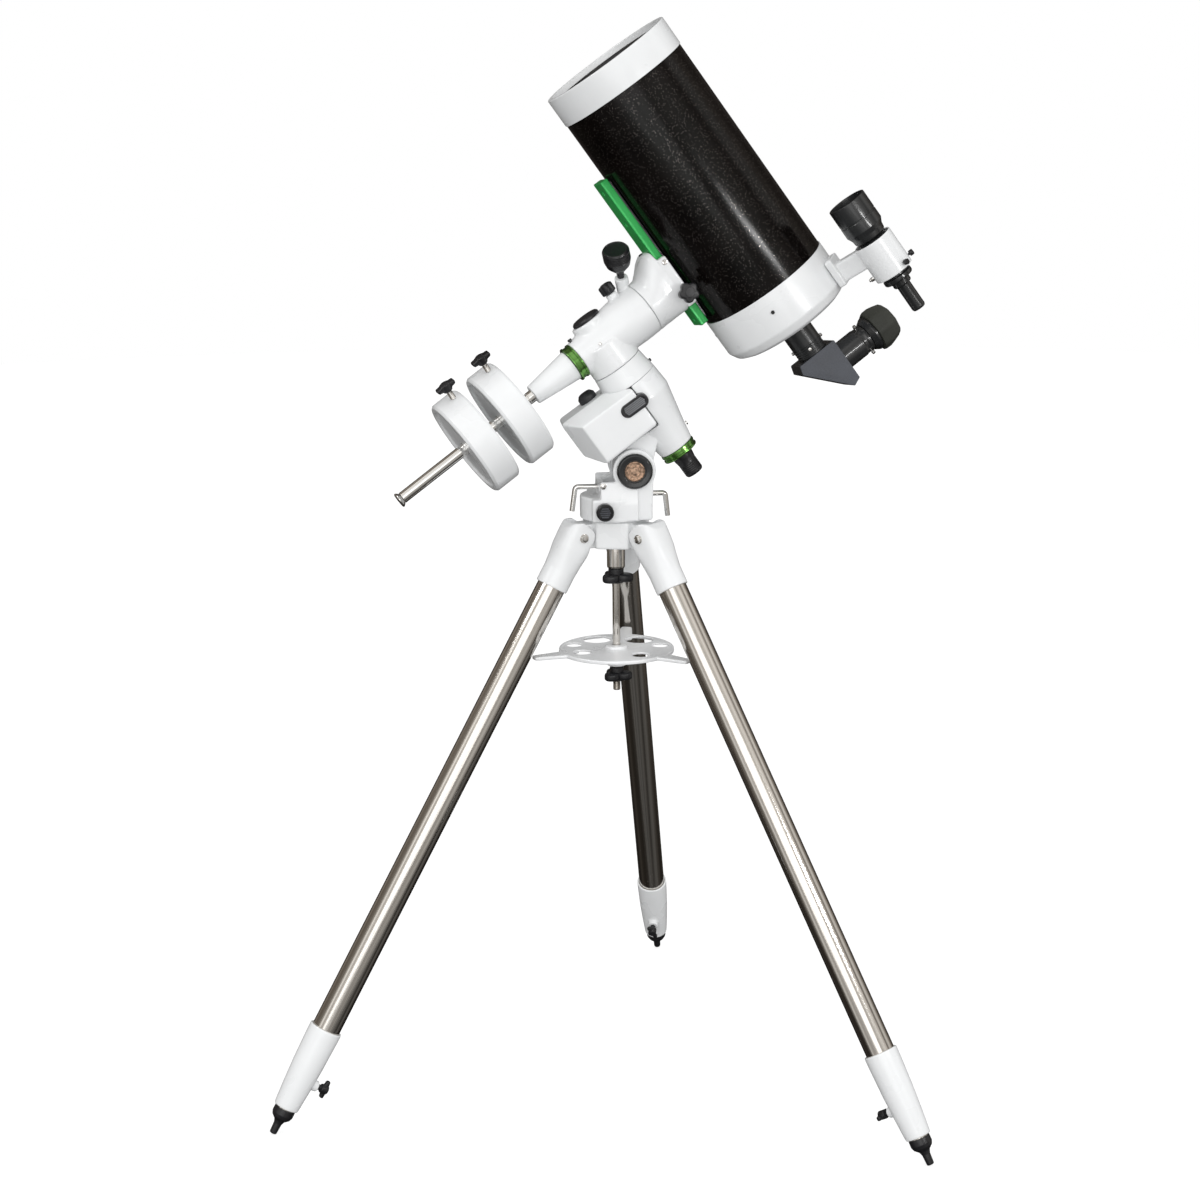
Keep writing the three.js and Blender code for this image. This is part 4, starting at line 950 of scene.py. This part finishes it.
def build_finder():
    ring = moulded(moved(0, 0, FINDER_REACH) @ ALONG_X, pipe(28, 31, -174, -113, 128, 1.0))
    stalk = block(-148, -116, -9, 9, 114.2, 157, 2, 4)
    shoe = prism([(-150, -19, 4), (-104, -19, 4), (-104, 19, 4), (-150, 19, 4)], 106.7, 118, 1.5)
    mesh = casting("bracket", [ring, stalk, shoe], [], 0.9, 3)
    show("bracket_casting", "telescope", "white_paint", FINDER, mesh, ["finder_bracket"])
    scope = [(0, -242), (9.6, -242, 1), (11, -239, 0.6), (11, -198, 0.4), (14, -197, 0.4), (15, -195, 0.5),
        (15, -188, 0.5), (22.6, -187, 1), (24, -185, 0.8), (24, -180, 0.8), (21, -178, 0.5), (21, -112, 1),
        (25.4, -108, 2), (26.4, -100, 3), (30.5, -92, 2), (30.5, -76, 0.4), (29.9, -75.2), (29.9, -73.6),
        (30.5, -72.8), (30.5, -44, 0.8), (27.4, -44, 0.6), (26, -70), (0, -72)]
    where = moved(0, 0, FINDER_REACH) @ ALONG_X
    show("finder_body", "finder", "black_metal", FINDER, moulded(where, lathe(scope, 128)), ["finder_scope"])
    lens = lathe([(0, -71.4), (25.6, -69.6, 0.4), (25.6, -66, 0.6), (12, -63, 20), (0, -62.4)], 96)
    show("finder_lens", "finder", "lens_glass", FINDER, moulded(where, lens))
    for i, azimuth in enumerate((58, 122)):
        place = moved(-166, 0, FINDER_REACH) @ turned_about("X", azimuth - 90) @ moved(0, 0, 30.6)
        screw = together(disc(1.8, -5, 5, 0.2, 24), lobed(4.6, 8, 3.6, 10, 0.9, 0.8, 8))
        show(f"finder_screw_{i}", "telescope", "black_plastic", FINDER, moulded(place, screw))
    plunger = moulded(moved(-167, 0, FINDER_REACH) @ turned_about("X", 180) @ moved(0, 0, 30.4),
        together(disc(3.4, -1, 8, 0.5, 32), disc(2.2, 7, 11, 0.5, 28)))
    show("finder_plunger", "telescope", "chrome", FINDER, plunger)


# ---- studio

LENS_MM = 77.2
CAMERA_PLACE = Vector((0.4794, -4.0135, 1.6883))
HEADING, PITCH, ROLL = radians(97.43), radians(-12.995), -0.0084


def build_camera():
    ahead = Vector((cos(HEADING) * cos(PITCH), sin(HEADING) * cos(PITCH), sin(PITCH)))
    right = Vector((sin(HEADING), -cos(HEADING), 0))
    above = right.cross(ahead)
    side = right * cos(ROLL) + above * sin(ROLL)
    top = above * cos(ROLL) - right * sin(ROLL)
    data = bpy.data.cameras.new("camera")
    data.lens = LENS_MM
    data.sensor_width = 36
    data.clip_end = 60
    camera = added("camera", data)
    turn = Matrix((side, top, -ahead)).transposed().to_4x4()
    camera.matrix_world = Matrix.Translation(CAMERA_PLACE) @ turn
    bpy.context.scene.camera = camera


def soft_light(name, place, target, size, power, gloss_only=False):
    data = bpy.data.lights.new(name, "AREA")
    data.shape = "RECTANGLE"
    data.size, data.size_y = size
    data.energy = power
    light = added(name, data)
    light.location = place
    light.rotation_euler = (Vector(target) - Vector(place)).to_track_quat("-Z", "Y").to_euler()
    light.visible_diffuse = not gloss_only


# The walls that polished metal mirrors, all round from behind the object: a share of a turn, a colour.
SURROUND = [(0.00, (0.05, 0.045, 0.04)), (0.12, (0.06, 0.052, 0.045)), (0.17, (0.24, 0.21, 0.18)),
            (0.22, (0.13, 0.11, 0.09)), (0.30, (0.17, 0.15, 0.13)), (0.345, (0.34, 0.32, 0.29)),
            (0.37, (1.10, 1.08, 1.05)), (0.40, (0.52, 0.50, 0.47)), (0.44, (0.50, 0.48, 0.46)),
            (0.47, (0.75, 0.74, 0.72)), (0.53, (0.75, 0.74, 0.72)), (0.56, (0.38, 0.36, 0.34)),
            (0.60, (0.52, 0.50, 0.47)), (0.65, (0.72, 0.70, 0.67)), (0.69, (0.50, 0.47, 0.44)),
            (0.73, (0.14, 0.125, 0.11)), (0.77, (0.62, 0.60, 0.57)), (0.80, (0.60, 0.58, 0.55)),
            (0.84, (0.26, 0.23, 0.20)), (0.90, (0.06, 0.05, 0.043)), (1.00, (0.05, 0.045, 0.04))]
BRIGHT_SIDE = Vector((0.40, -0.84, 0.30)).normalized()


def ramp(tree, source, stops):
    made = node(tree, "ShaderNodeValToRGB", {0: source})
    made.color_ramp.interpolation = "EASE"
    while len(made.color_ramp.elements) < len(stops):
        made.color_ramp.elements.new(0.5)
    for element, (share, colour) in zip(made.color_ramp.elements, stops):
        element.position = share
        element.color = (*colour, 1)
    return made.outputs[0]


def greys(*stops):
    return [(share, (level,) * 3) for share, level in stops]


def times(tree, first, second):
    return node(tree, "ShaderNodeVectorMath", {0: first, 1: second}, operation="MULTIPLY").outputs[0]


def mirrored_room(tree, split):
    """A dark room with brown and grey walls, seen in metal and gloss."""
    back = node(tree, "ShaderNodeMath", {0: split.outputs["Y"], 1: -1}, operation="MULTIPLY")
    sides = {0: split.outputs["X"], 1: back.outputs[0]}
    angle = node(tree, "ShaderNodeMath", sides, operation="ARCTAN2")
    walls = ramp(tree, spread(tree, angle.outputs[0], 0, 1, -pi, pi), SURROUND)
    levels = greys((0.00, 0.14), (0.24, 0.19), (0.34, 0.72), (0.46, 0.85), (0.60, 1.05), (0.80, 1.3),
        (1.00, 1.6))
    height = ramp(tree, spread(tree, split.outputs["Z"], 0, 1, -1, 1), levels)
    return times(tree, walls, height)


def soft_room(tree, direction, split):
    """Soft light from the near right side, less from below and from behind."""
    facing = node(tree, "ShaderNodeVectorMath", {0: direction, 1: BRIGHT_SIDE}, operation="DOT_PRODUCT")
    level = spread(tree, facing.outputs["Value"], 0.50, 1.38, -1, 1)
    levels = greys((0.00, 0.34), (0.40, 0.46), (0.55, 1.0), (0.75, 1.05), (1.00, 1.0))
    height = ramp(tree, spread(tree, split.outputs["Z"], 0, 1, -1, 1), levels)
    return times(tree, level, height)


def build_world():
    world = bpy.data.worlds.new("studio")
    bpy.context.scene.world = world
    world.use_nodes = True
    tree = world.node_tree
    tree.nodes.clear()
    direction = tree.nodes.new("ShaderNodeTexCoord").outputs["Generated"]
    split = node(tree, "ShaderNodeSeparateXYZ", {0: direction})
    result = node(tree, "ShaderNodeBackground", Color=soft_room(tree, direction, split))
    mirrored = node(tree, "ShaderNodeBackground", Color=mirrored_room(tree, split))
    pale = node(tree, "ShaderNodeBackground", Color=(1, 1, 1, 1))
    rays = tree.nodes.new("ShaderNodeLightPath")
    for ray, other in (("Is Glossy Ray", mirrored), ("Is Camera Ray", pale)):
        sockets = {0: rays.outputs[ray], 1: result.outputs[0], 2: other.outputs[0]}
        result = node(tree, "ShaderNodeMixShader", sockets)
    node(tree, "ShaderNodeOutputWorld", Surface=result.outputs[0])


def build_floor():
    """A pale floor whose own glow keeps it nearly white."""
    mesh = to_mesh("floor", lathe([(0, 0), (9000, 0)], 96))
    mesh.transform(Matrix.Scale(0.001, 4))
    paint = surface("floor_paint", (0.30, 0.30, 0.30), 0.7, tone=0.01, bump=0.01)
    shader = paint.node_tree.nodes["Principled BSDF"]
    shader.inputs["Emission Color"].default_value = (1, 1, 1, 1)
    shader.inputs["Emission Strength"].default_value = 0.80
    mesh.materials.append(paint)
    floor = added("floor", mesh)
    floor.visible_glossy = False
    floor.visible_diffuse = False


def build_studio():
    build_camera()
    build_world()
    build_floor()
    for i, x in enumerate((-1.42, 0.1, 1.62)):
        soft_light(f"panel_{i}", (x, -5.2, 1.8), (x * 0.4, 0, 0.9), (1.38, 3.2), 17)
    soft_light("rim", (-2.4, -1.7, 3.1), (-0.05, -0.2, 1.0), (0.9, 0.9), 22, True)
    soft_light("streak", (2.34, -2.25, 1.72), (0.2, -0.15, 1.28), (0.62, 0.20), 15, True)
    bpy.context.scene.view_settings.view_transform = "Standard"


def build():
    build_studio()
    build_hub()
    for side in SIDES:
        build_leg(side)
    build_centre()
    build_azimuth()
    build_polar()
    build_declination()
    build_declination_screws()
    build_counterweights()
    build_saddle()
    build_dovetail()
    build_barrel()
    build_rear_optics()
    build_finder()


build()
